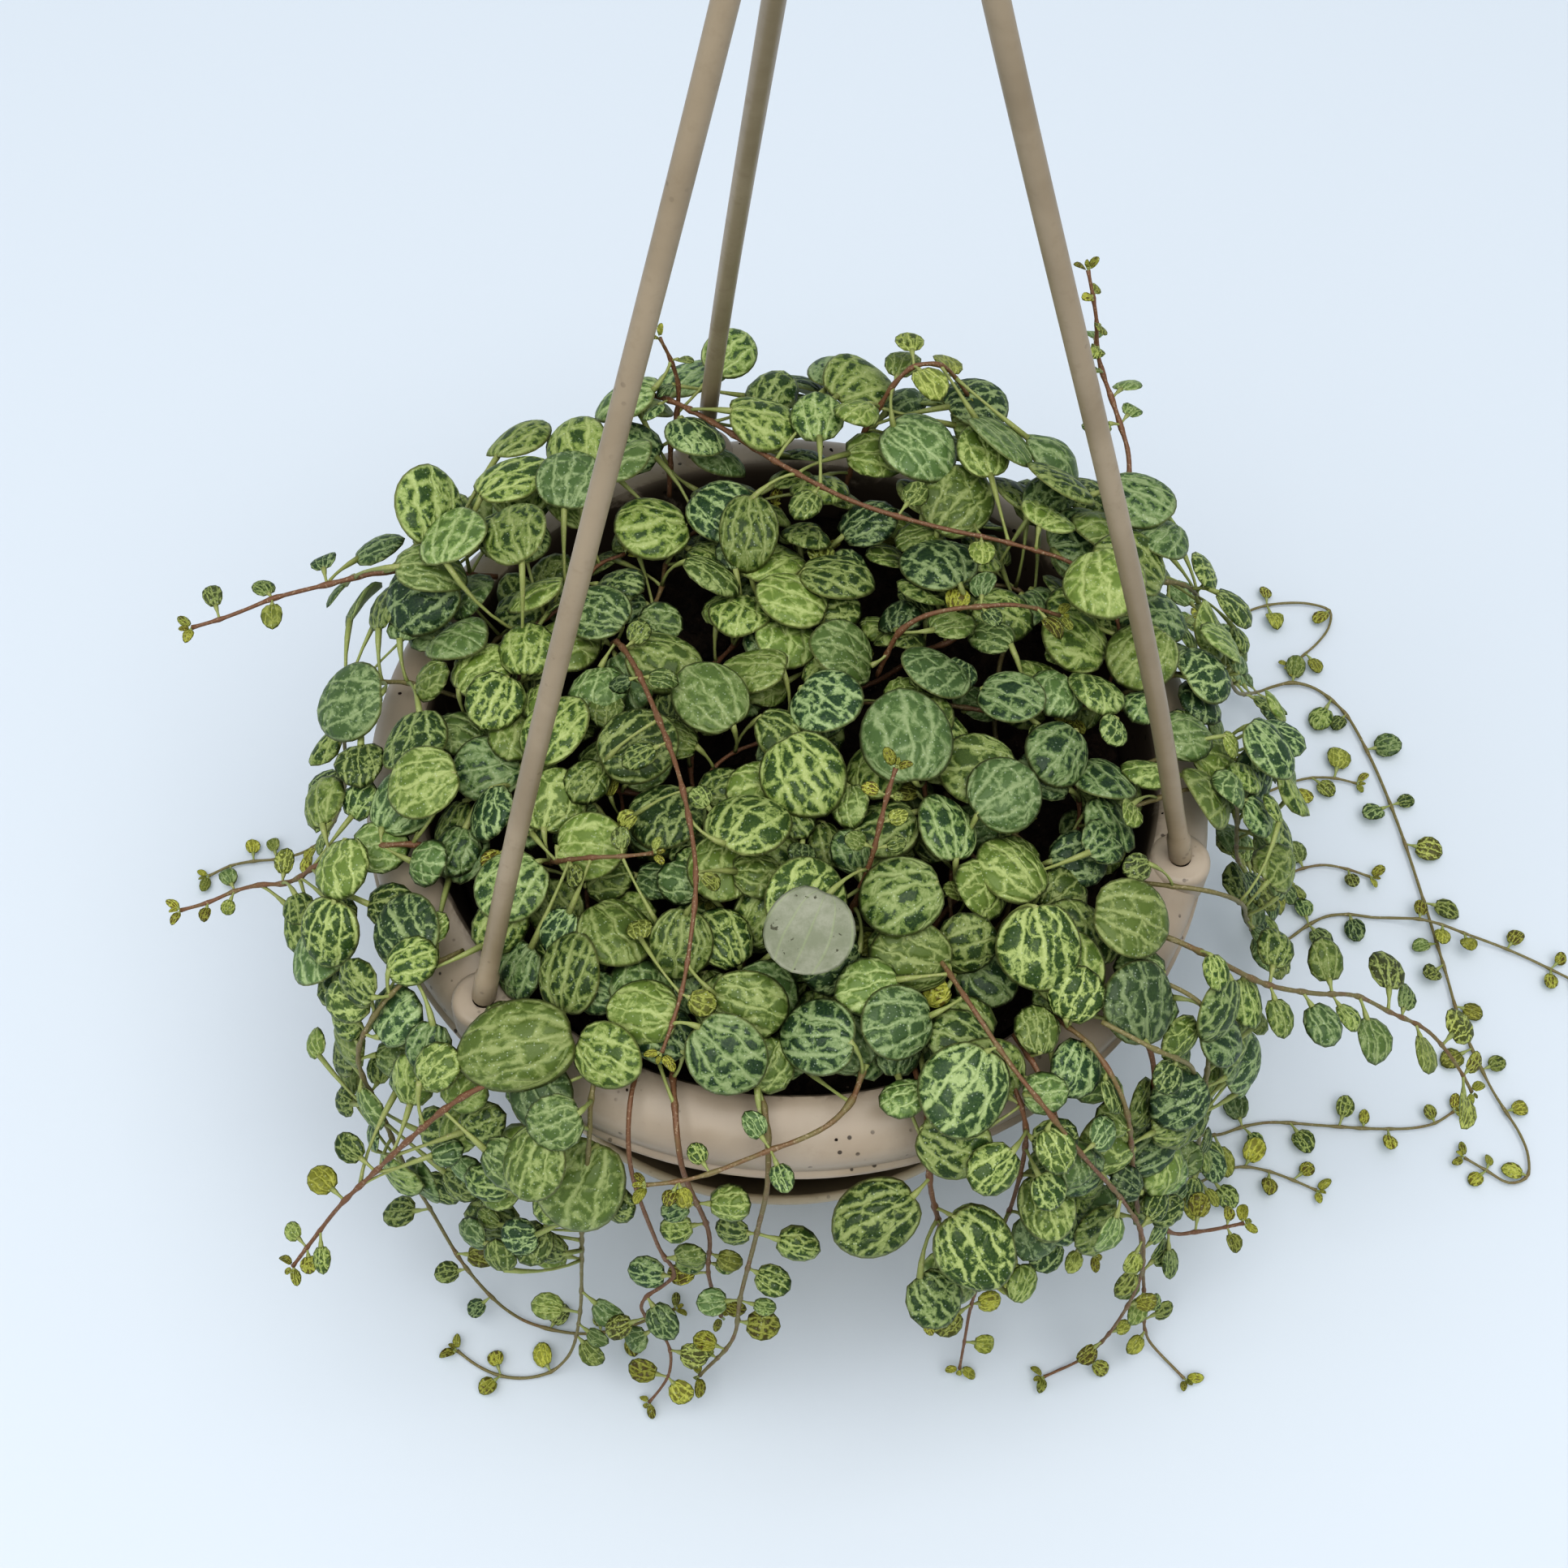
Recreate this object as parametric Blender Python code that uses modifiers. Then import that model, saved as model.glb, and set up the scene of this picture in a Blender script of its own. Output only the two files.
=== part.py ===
"""String of turtles (Peperomia prostrata) growing in a moulded hanging pot with a clip-on saucer.

Metres, +Z up. The origin is the middle of the saucer's underside, so the pot stands on z = 0, and
+Y points to the back, between the two front arms of the hanger.
"""

import math
import random
from dataclasses import dataclass

import bmesh
import bpy
from mathutils import Matrix, Vector
from mathutils.bvhtree import BVHTree
from mathutils.geometry import intersect_point_line

COLLECTION = "string_of_turtles"

# ---- pot and saucer
CLEARANCE = 0.0003
RIM_RADIUS = 0.0625
RIM_TOP = 0.085
RIM_WIDTH = 0.0088
RIM_CROWN = 0.0055
SKIRT_DEPTH = 0.0088
FLANGE = 0.0005
FLANGE_HEIGHT = 0.0009
POT_WALL = 0.0016
POT_BASE_RADIUS = 0.030
TURN_STEPS = 32
RIM_ARC_STEPS = 4
DRAIN_RADIUS = 0.0025
DRAIN_CIRCLE = 0.017
DRAIN_COUNT = 4

SAUCER_LIP_HEIGHT = 0.030
SAUCER_LIP_RADIUS = 0.0485
SAUCER_BASE_RADIUS = 0.0335
SAUCER_WALL = 0.0014
SAUCER_FLOOR = 0.0016
LIP_ROLL = 0.0009
PEG_RADIUS = 0.0030
PEG_PLAY = 0.0005
PEG_HEAD = 0.0042
PEG_HEAD_HEIGHT = 0.0018

# ---- potting mix
SOIL_EDGE_DROP = 0.0090
SOIL_CROWN = 0.0030

# ---- hanger
ARM_AZIMUTHS = {"front_left": 226.2, "right": 346.2, "back": 106.2}
ARM_DIAMETER = 0.0028
ARM_LEAN = (0.762289, 0.541824, -0.304113)
ARM_TOP = 0.258
ARM_STEPS = 9
COLLAR_DIAMETER = 0.0034
COLLAR_LENGTH = 0.0050
NECK_DIAMETER = 0.0020
BARB_DIAMETER = 0.0040
BARB_LENGTH = 0.0035
ARM_CIRCLE = RIM_RADIUS - POT_WALL - BARB_DIAMETER / 2 - CLEARANCE
SOCKET_PLAY = 0.0006
LUG_RADIUS = 0.0054
LUG_RISE = 0.0004
LUG_DEPTH = 0.0060
HUB_RADIUS = 0.0115
HUB_HEIGHT = 0.0080
HUB_SOCKET_DEPTH = 0.0045
HUB_CIRCLE = 0.0076048
HOOK_RADIUS = 0.0115
HOOK_DIAMETER = 0.0034
HOOK_NECK = 0.0060
HOOK_SWEEP = 250.0

# ---- stems and leaves
STEM_RADIUS = 0.00050
TIP_RADIUS = 0.00032
STEM_SPACING = 0.0042
LYING_HEIGHT = STEM_RADIUS + 0.0004
STEM_SLACK = 0.00025
PETIOLE_RADIUS = 0.00036
LEAF_DOME = 0.14
LEAF_CLEARANCE = 0.00028
LEAF_SIDES = 6
SMALL_LEAF = 0.0060
FINE_LEAF = 0.0052
BURIED_DEPTH = 0.0042
CROWN_RISE = 0.0160
CROWN_TOP = RIM_TOP + CROWN_RISE
CROWN_FALL = 0.0085
CROWN_OVERHANG = 0.0040
CROWN_RADIUS = RIM_RADIUS + CROWN_OVERHANG
CURTAIN_RISE = 0.006
CURTAIN_START = 0.003
CURTAIN_SPREAD = 0.010
RUNNER_COUNT = 18
RUNNER_STEP = 0.0050
RUNNER_STEPS = 11
RUNNER_INSET = 0.0165
RUNNER_REACH = RIM_RADIUS - RUNNER_INSET
SEED = 21
# The rim that the stems' points below are drawn about.
DRAWN_RIM_RADIUS = 0.0625
DRAWN_RIM_TOP = 0.085


# ------------------------------------------------------------------ layout of the plant
@dataclass(frozen=True)
class Route:
    """One stem: the points that it passes and the leaves that sit along its free length."""

    name: str
    points: tuple
    leaves_from: float
    leaf_gap: float
    leaf_sizes: tuple


@dataclass
class Stem:
    """A stem as a smooth row of points from its root to its tip."""

    name: str
    points: list
    route: Route = None


@dataclass
class Leaf:
    """One leaf: where it leaves its stem, and its blade's middle, directions and size."""

    stem: int
    share: float
    root: Vector
    centre: Vector
    along: Vector
    normal: Vector
    length: float
    width: float
    age: float
    depth: float = 0.0

    def solid(self):
        """True for a leaf that is large enough, and near enough to the top, to be modelled here."""
        return self.length > FINE_LEAF and self.depth < BURIED_DEPTH

    def matrix(self):
        """The blade's frame: X from base to tip, Z out of its upper face."""
        across = self.normal.cross(self.along).normalized()
        turn = Matrix((self.along, across, self.normal)).transposed().to_4x4()
        return Matrix.Translation(self.centre) @ turn

    def base(self):
        """The point on the blade's edge where it leaves its petiole."""
        return self.centre - self.along * self.length * 0.5

    def hold(self):
        """The point inside the blade where the petiole ends."""
        return self.centre - self.along * self.length * 0.15 + self.normal * self.length * LEAF_DOME * 0.33


ROUTES = (
    Route("stem_left_upper", ((-0.046, 0.027, 0.088), (-0.054, 0.025, 0.091), (-0.062, 0.024, 0.092),
          (-0.070, 0.022, 0.091), (-0.079, 0.020, 0.089), (-0.085, 0.018, 0.087),
          (-0.091, 0.016, 0.086)), 0.35, 0.0085, (0.0070, 0.0030)),
    Route("stem_left_lower", ((-0.049, -0.020, 0.087), (-0.056, -0.021, 0.089), (-0.0665, -0.0215, 0.083),
          (-0.072, -0.021, 0.076), (-0.079, -0.020, 0.072), (-0.085, -0.022, 0.070),
          (-0.089, -0.023, 0.069)), 0.5, 0.0060, (0.0042, 0.0022)),
    Route("stem_left_floor", ((-0.049, 0.006, 0.086), (-0.058, 0.007, 0.088), (-0.0675, 0.009, 0.080),
          (-0.072, 0.013, 0.050), (-0.079, 0.021, 0.020), (-0.086, 0.024, 0.004),
          (-0.093, 0.023, 0.001), (-0.099, 0.022, 0.001), (-0.104, 0.019, 0.001)),
          0.25, 0.0090, (0.0070, 0.0028)),
    Route("stem_front_left_red", ((-0.029, -0.047, 0.088), (-0.036, -0.055, 0.089), (-0.043, -0.058, 0.085),
          (-0.050, -0.061, 0.077), (-0.055, -0.063, 0.070), (-0.060, -0.065, 0.063),
          (-0.064, -0.067, 0.056), (-0.068, -0.070, 0.050)), 0.5, 0.0055, (0.0062, 0.0030)),
    Route("stem_left_long", ((-0.044, -0.036, 0.087), (-0.051, -0.042, 0.089), (-0.0565, -0.046, 0.082),
          (-0.059, -0.047, 0.071), (-0.057, -0.049, 0.058), (-0.055, -0.051, 0.044),
          (-0.052, -0.053, 0.030), (-0.047, -0.057, 0.014), (-0.040, -0.060, 0.002),
          (-0.031, -0.062, 0.001), (-0.023, -0.061, 0.001), (-0.014, -0.057, 0.001)),
          0.45, 0.0130, (0.0060, 0.0026)),
    Route("stem_front_left_drop", ((-0.021, -0.046, 0.088), (-0.024, -0.055, 0.089), (-0.0245, -0.062, 0.081),
          (-0.026, -0.064, 0.062), (-0.027, -0.064, 0.042), (-0.028, -0.065, 0.022),
          (-0.030, -0.067, 0.007), (-0.034, -0.069, 0.001), (-0.039, -0.070, 0.001),
          (-0.044, -0.069, 0.001), (-0.049, -0.066, 0.001)), 0.25, 0.0100, (0.0078, 0.0030)),
    Route("stem_front_mid_left", ((-0.014, -0.050, 0.087), (-0.013, -0.058, 0.0885), (-0.0115, -0.0650, 0.083),
          (-0.008, -0.065, 0.060), (-0.008, -0.065, 0.042), (-0.006, -0.066, 0.026)),
          0.4, 0.0100, (0.0055, 0.0030)),
    Route("stem_front_mid", ((-0.004, -0.050, 0.087), (-0.001, -0.058, 0.0885), (0.000, -0.0655, 0.083),
          (-0.001, -0.0665, 0.066), (-0.003, -0.068, 0.042), (-0.004, -0.069, 0.024),
          (-0.009, -0.070, 0.008)), 0.4, 0.0110, (0.0066, 0.0034)),
    Route("stem_front_fork", ((-0.018, -0.049, 0.086), (-0.019, -0.058, 0.088), (-0.0185, -0.0645, 0.080),
          (-0.015, -0.067, 0.058), (-0.013, -0.067, 0.046), (-0.018, -0.068, 0.035),
          (-0.014, -0.069, 0.020), (-0.014, -0.071, 0.010), (-0.017, -0.073, 0.002)),
          0.45, 0.0100, (0.0060, 0.0050)),
    Route("stem_front_across", ((0.013, -0.049, 0.091), (0.010, -0.058, 0.0905), (0.005, -0.062, 0.090),
          (0.000, -0.064, 0.089), (-0.005, -0.066, 0.088), (-0.010, -0.068, 0.0875),
          (-0.016, -0.069, 0.087)), 0.55, 0.0060, (0.0050, 0.0026)),
    Route("stem_front_root", ((0.019, -0.050, 0.087), (0.021, -0.058, 0.088), (0.022, -0.0640, 0.080),
          (0.025, -0.0645, 0.062), (0.026, -0.065, 0.044), (0.025, -0.066, 0.030)),
          0.5, 0.0160, (0.0050, 0.0022)),
    Route("stem_front_right_drop", ((0.029, -0.044, 0.087), (0.032, -0.052, 0.089), (0.0345, -0.0575, 0.085),
          (0.035, -0.0595, 0.066), (0.034, -0.060, 0.044), (0.033, -0.061, 0.024),
          (0.033, -0.063, 0.012), (0.033, -0.065, 0.003)), 0.3, 0.0100, (0.0085, 0.0036)),
    Route("stem_right_diagonal", ((0.021, -0.037, 0.096), (0.026, -0.046, 0.098), (0.031, -0.052, 0.095),
          (0.037, -0.0575, 0.091), (0.043, -0.060, 0.082), (0.050, -0.060, 0.068),
          (0.055, -0.060, 0.054), (0.057, -0.061, 0.038), (0.056, -0.062, 0.020),
          (0.054, -0.062, 0.005), (0.051, -0.063, 0.001), (0.047, -0.065, 0.001)),
          0.3, 0.0140, (0.0060, 0.0028)),
    Route("stem_right_front_drop", ((0.037, -0.041, 0.088), (0.043, -0.047, 0.090), (0.048, -0.053, 0.085),
          (0.052, -0.055, 0.066), (0.056, -0.056, 0.046), (0.060, -0.057, 0.024),
          (0.063, -0.058, 0.006), (0.066, -0.060, 0.001), (0.070, -0.064, 0.001)),
          0.25, 0.0090, (0.0085, 0.0030)),
    Route("stem_right_front_short", ((0.0325, -0.045, 0.0885), (0.036, -0.0515, 0.0895),
          (0.040, -0.057, 0.080),
          (0.042, -0.058, 0.064), (0.045, -0.059, 0.053), (0.049, -0.060, 0.046)),
          0.45, 0.0080, (0.0075, 0.0035)),
    Route("stem_right_front_out", ((0.041, -0.035, 0.087), (0.048, -0.041, 0.089), (0.053, -0.045, 0.080),
          (0.057, -0.049, 0.052), (0.062, -0.051, 0.034), (0.069, -0.048, 0.026),
          (0.077, -0.044, 0.020)), 0.3, 0.0085, (0.0080, 0.0026)),
    Route("stem_right_reach", ((0.047, -0.027, 0.089), (0.055, -0.030, 0.090), (0.062, -0.031, 0.086),
          (0.070, -0.030, 0.078), (0.079, -0.027, 0.070), (0.087, -0.023, 0.062),
          (0.094, -0.022, 0.055), (0.102, -0.021, 0.047), (0.108, -0.023, 0.040),
          (0.112, -0.025, 0.034)), 0.3, 0.0085, (0.0070, 0.0060)),
    Route("stem_floor_front", ((0.044, -0.044, 0.092), (0.052, -0.047, 0.090), (0.0585, -0.045, 0.080),
          (0.064, -0.039, 0.050), (0.071, -0.028, 0.018), (0.078, -0.021, 0.002),
          (0.086, -0.018, 0.001), (0.097, -0.018, 0.001), (0.106, -0.018, 0.001),
          (0.114, -0.017, 0.001), (0.119, -0.014, 0.001)), 0.5, 0.0085, (0.0062, 0.0030)),
    Route("stem_floor_front_low", ((0.049, -0.034, 0.0875), (0.056, -0.037, 0.0885), (0.061, -0.038, 0.080),
          (0.065, -0.041, 0.050), (0.071, -0.034, 0.012), (0.079, -0.027, 0.001),
          (0.086, -0.027, 0.001), (0.094, -0.030, 0.001)), 0.62, 0.0075, (0.0060, 0.0034)),
    Route("stem_loop_back", ((0.046, 0.026, 0.088), (0.054, 0.031, 0.090), (0.062, 0.037, 0.080),
          (0.071, 0.058, 0.040), (0.080, 0.080, 0.006), (0.088, 0.090, 0.001),
          (0.098, 0.093, 0.001), (0.105, 0.091, 0.001), (0.102, 0.084, 0.001),
          (0.096, 0.078, 0.001)), 0.3, 0.0120, (0.0065, 0.0034)),
    Route("stem_loop_far", ((0.049, 0.012, 0.088), (0.057, 0.015, 0.0895), (0.066, 0.022, 0.079),
          (0.077, 0.045, 0.040), (0.088, 0.068, 0.006), (0.097, 0.074, 0.001),
          (0.105, 0.069, 0.001), (0.110, 0.058, 0.001), (0.114, 0.044, 0.001),
          (0.117, 0.030, 0.001), (0.120, 0.014, 0.001), (0.122, 0.003, 0.001),
          (0.126, -0.009, 0.001), (0.131, -0.020, 0.001), (0.129, -0.027, 0.001),
          (0.120, -0.0225, 0.001)), 0.35, 0.0105, (0.0060, 0.0032)),
    Route("stem_floor_back", ((0.051, 0.000, 0.087), (0.058, 0.002, 0.089), (0.066, 0.008, 0.079),
          (0.074, 0.024, 0.044), (0.084, 0.042, 0.010), (0.092, 0.050, 0.001),
          (0.100, 0.053, 0.001), (0.107, 0.052, 0.001)), 0.3, 0.0090, (0.0070, 0.0046)),
    Route("stem_floor_middle", ((0.049, -0.009, 0.090), (0.058, -0.0055, 0.0905), (0.0662, -0.001, 0.081),
          (0.073, 0.006, 0.050), (0.084, 0.022, 0.016), (0.092, 0.031, 0.001),
          (0.100, 0.034, 0.001), (0.108, 0.032, 0.001)), 0.3, 0.0080, (0.0070, 0.0036)),
    Route("stem_floor_side", ((0.051, -0.020, 0.088), (0.060, -0.021, 0.0885), (0.067, -0.017, 0.078),
          (0.074, -0.005, 0.050), (0.084, 0.009, 0.016), (0.092, 0.018, 0.001),
          (0.100, 0.0235, 0.001), (0.109, 0.0235, 0.001), (0.1145, 0.023, 0.0025),
          (0.1185, 0.022, 0.0032), (0.1225, 0.021, 0.0025), (0.133, 0.018, 0.001),
          (0.143, 0.013, 0.001)), 0.3, 0.0095, (0.0070, 0.0030)),
    Route("stem_back_right_sprig", ((0.046, 0.036, 0.090), (0.048, 0.040, 0.096), (0.049, 0.046, 0.100),
          (0.046, 0.053, 0.105), (0.043, 0.058, 0.110), (0.042, 0.060, 0.116),
          (0.040, 0.064, 0.122)), 0.45, 0.0048, (0.0048, 0.0024)),
    Route("stem_back_left_sprig", ((-0.021, 0.044, 0.088), (-0.021, 0.049, 0.095), (-0.020, 0.053, 0.101),
          (-0.021, 0.055, 0.106), (-0.023, 0.056, 0.111)), 0.5, 0.0036, (0.0034, 0.0020)),
    Route("stem_crown_top", ((-0.025, 0.054, 0.1005), (-0.020, 0.051, 0.102), (-0.013, 0.046, 0.103),
          (-0.004, 0.039, 0.104), (0.007, 0.032, 0.105), (0.019, 0.029, 0.104),
          (0.031, 0.028, 0.102), (0.042, 0.026, 0.099), (0.048, 0.021, 0.092),
          (0.047, 0.014, 0.084)), 0.0, 0.0150, (0.0050, 0.0050)),
    Route("stem_back_arch", ((0.006, 0.046, 0.088), (0.008, 0.049, 0.098), (0.011, 0.051, 0.105),
          (0.014, 0.053, 0.110), (0.018, 0.054, 0.111), (0.021, 0.055, 0.108),
          (0.024, 0.055, 0.103)), 0.25, 0.0060, (0.0090, 0.0050)),
    Route("stem_crown_middle", ((-0.027, 0.014, 0.086), (-0.0265, 0.011, 0.096), (-0.0235, 0.004, 0.102),
          (-0.020, -0.004, 0.104), (-0.015, -0.017, 0.105), (-0.012, -0.030, 0.104),
          (-0.012, -0.040, 0.102), (-0.013, -0.047, 0.098), (-0.015, -0.053, 0.094)),
          0.3, 0.0120, (0.0050, 0.0040)),
    Route("stem_crown_sprig", ((0.009, -0.030, 0.090), (0.011, -0.028, 0.100), (0.012, -0.026, 0.106),
          (0.013, -0.022, 0.111), (0.014, -0.019, 0.114)), 0.55, 0.0040, (0.0032, 0.0020)),
    Route("stem_crown_right", ((0.012, 0.010, 0.092), (0.015, 0.013, 0.100), (0.020, 0.014, 0.1035),
          (0.026, 0.015, 0.1040), (0.032, 0.016, 0.1035), (0.038, 0.017, 0.100)),
          0.6, 0.0070, (0.0046, 0.0046)),
    Route("stem_crown_left", ((-0.034, -0.022, 0.088), (-0.031, -0.026, 0.096), (-0.027, -0.028, 0.101),
          (-0.022, -0.028, 0.102), (-0.018, -0.027, 0.1015)), 0.3, 0.0065, (0.0040, 0.0030)),
)

# Leaves that stand out: the blade's middle, its length and width, the compass angle that its tip
# points to, how far its upper face leans, and the compass angle that it leans to.
SHOW_LEAVES = (
    ((-0.0350, -0.0520, 0.0905), 0.0170, 0.0125, 195, 22, 250),
    ((-0.0555, 0.0170, 0.0965), 0.0130, 0.0120, 200, 25, 230),
    ((-0.0640, 0.0010, 0.0915), 0.0128, 0.0122, 185, 35, 205),
    ((0.0160, -0.0080, 0.1040), 0.0150, 0.0132, 100, 8, 270),
    ((0.0020, -0.0130, 0.1010), 0.0130, 0.0122, 300, 12, 240),
    ((-0.0055, -0.0215, 0.1020), 0.0130, 0.0120, 60, 15, 100),
    ((0.0030, -0.0330, 0.1020), 0.0122, 0.0112, 60, 20, 300),
    ((-0.0510, -0.0150, 0.0965), 0.0112, 0.0108, 200, 22, 220),
    ((-0.0215, -0.0090, 0.1000), 0.0120, 0.0112, 30, 14, 250),
    ((0.0350, -0.0360, 0.0980), 0.0122, 0.0120, 280, 25, 285),
    ((0.0255, -0.0555, 0.0935), 0.0132, 0.0124, 250, 32, 280),
    ((0.0290, -0.0700, 0.0720), 0.0128, 0.0112, 300, 38, 275),
    ((0.0150, -0.0690, 0.0800), 0.0128, 0.0104, 215, 25, 265),
    ((-0.0245, -0.0640, 0.0740), 0.0140, 0.0128, 250, 34, 262),
    ((0.0480, -0.0300, 0.0955), 0.0122, 0.0112, 350, 24, 320),
    ((0.0160, -0.0320, 0.1030), 0.0118, 0.0112, 200, 14, 270),
    ((0.0300, -0.0140, 0.1005), 0.0108, 0.0112, 40, 18, 290),
    ((0.0230, 0.0380, 0.0985), 0.0125, 0.0112, 60, 18, 290),
    ((-0.0080, 0.0290, 0.1000), 0.0122, 0.0090, 270, 20, 270),
    ((0.0420, 0.0330, 0.0960), 0.0125, 0.0120, 20, 22, 330),
)

# The rim's bare stretches: compass angles from and to, and how far inside the rim the leaves stop.
BARE_STRETCHES = ((246, 288, 0.0095), (164, 186, 0.0065), (338, 352, 0.0095), (100, 112, 0.0075),
                  (222, 230, 0.0085))
# Where leaves hang over the rim: compass angles from and to, lowest height for the drawn rim, and
# how many.
CURTAINS = ((196, 246, 0.050, 30), (288, 336, 0.050, 30), (352, 400, 0.064, 14), (40, 98, 0.076, 10),
            (114, 160, 0.076, 10))


def with_rim(x, y, z):
    """Moves a point that was drawn about a rim of the drawn size to where the pot's rim is."""
    wider = RIM_RADIUS / DRAWN_RIM_RADIUS
    higher = z + RIM_TOP - DRAWN_RIM_TOP if z > DRAWN_RIM_TOP else z * RIM_TOP / DRAWN_RIM_TOP
    return (x * wider, y * wider, higher)


def compass(x, y):
    """The angle of a point about the pot's axis, from +X, in degrees from 0 to 360."""
    return math.degrees(math.atan2(y, x)) % 360.0


def pot_radius(height):
    """The outside radius of the pot's tapering body at a height."""
    share = (height - SAUCER_FLOOR) / (RIM_TOP - SAUCER_FLOOR)
    return POT_BASE_RADIUS + (RIM_RADIUS - RIM_WIDTH + POT_WALL - POT_BASE_RADIUS) * share


def soil_height(radius):
    """The height of the potting mix's domed top at a distance from the axis."""
    share = min(1.0, radius / (RIM_RADIUS - RIM_WIDTH))
    return RIM_TOP - SOIL_EDGE_DROP + SOIL_CROWN * (1.0 - share * share)


def crown_height(radius):
    """The height of the crown's leafy top at a distance from the axis."""
    share = radius / RIM_RADIUS
    return CROWN_TOP - CROWN_FALL * share * share


def crown_radius(x, y):
    """How far out the crown's leaves go in the direction of a point."""
    angle = compass(x, y)
    for start, end, inset in BARE_STRETCHES:
        if start <= angle <= end:
            return RIM_RADIUS - inset
    return CROWN_RADIUS


def arm_points(azimuth):
    """The middle line of a hanger arm from its barb under the rim to its top."""
    direction = Vector((math.cos(math.radians(azimuth)), math.sin(math.radians(azimuth)), 0.0))
    points = []
    for step in range(ARM_STEPS + 1):
        share = step / ARM_STEPS
        lean = sum(c * share ** (k + 1) for k, c in enumerate(ARM_LEAN))
        out = ARM_CIRCLE - lean * (ARM_CIRCLE - HUB_CIRCLE)
        points.append(direction * out + Vector((0, 0, RIM_TOP + (ARM_TOP - RIM_TOP) * share)))
    return points


def smooth_line(points, spacing):
    """Evenly spaced points on a smooth curve through the given ones."""
    row = [Vector(p) for p in points]
    row = [row[0] * 2 - row[1]] + row + [row[-1] * 2 - row[-2]]
    dense = []
    for k in range(1, len(row) - 2):
        p0, p1, p2, p3 = row[k - 1 : k + 3]
        for j in range(8):
            t = j / 8
            dense.append(
                0.5 * (2 * p1 + (p2 - p0) * t + (2 * p0 - 5 * p1 + 4 * p2 - p3) * t * t
                       + (3 * p1 - p0 - 3 * p2 + p3) * t ** 3)
            )
    dense.append(row[-2])
    lengths = [0.0]
    for a, b in zip(dense, dense[1:]):
        lengths.append(lengths[-1] + (b - a).length)
    count = max(3, round(lengths[-1] / spacing))
    even = []
    k = 0
    for j in range(count + 1):
        want = lengths[-1] * j / count
        while k < len(lengths) - 2 and lengths[k + 1] < want:
            k += 1
        t = (want - lengths[k]) / max(1e-9, lengths[k + 1] - lengths[k])
        point = dense[k].lerp(dense[k + 1], min(1.0, t))
        point.z = max(point.z, LYING_HEIGHT)
        even.append(point)
    return even


def tube_tree(points, radius):
    """A search tree over a four-sided tube along a row of points."""
    verts, faces = [], []
    for k, p in enumerate(points):
        ahead = points[min(k + 1, len(points) - 1)] - points[max(k - 1, 0)]
        side = ahead.cross(Vector((0.3, 0.2, 0.93))).normalized() * radius
        rise = ahead.cross(side).normalized() * radius
        verts += [p + side, p + rise, p - side, p - rise]
        if k:
            base = 4 * (k - 1)
            faces += [(base + j, base + (j + 1) % 4, base + 4 + (j + 1) % 4, base + 4 + j) for j in range(4)]
    return BVHTree.FromPolygons(verts, faces)


def segment_gap(a, b, c, d):
    """The least distance between two straight pieces, a to b and c to d."""
    u, v, w = b - a, d - c, a - c
    uu, uv, vv, uw, vw = u.dot(u), u.dot(v), v.dot(v), u.dot(w), v.dot(w)
    bottom = uu * vv - uv * uv
    s = 0.0 if bottom < 1e-18 else min(1.0, max(0.0, (uv * vw - vv * uw) / bottom))
    t = min(1.0, max(0.0, (uv * s + vw) / vv))
    s = min(1.0, max(0.0, (uv * t - uw) / uu))
    return (w + u * s - v * t).length


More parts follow.
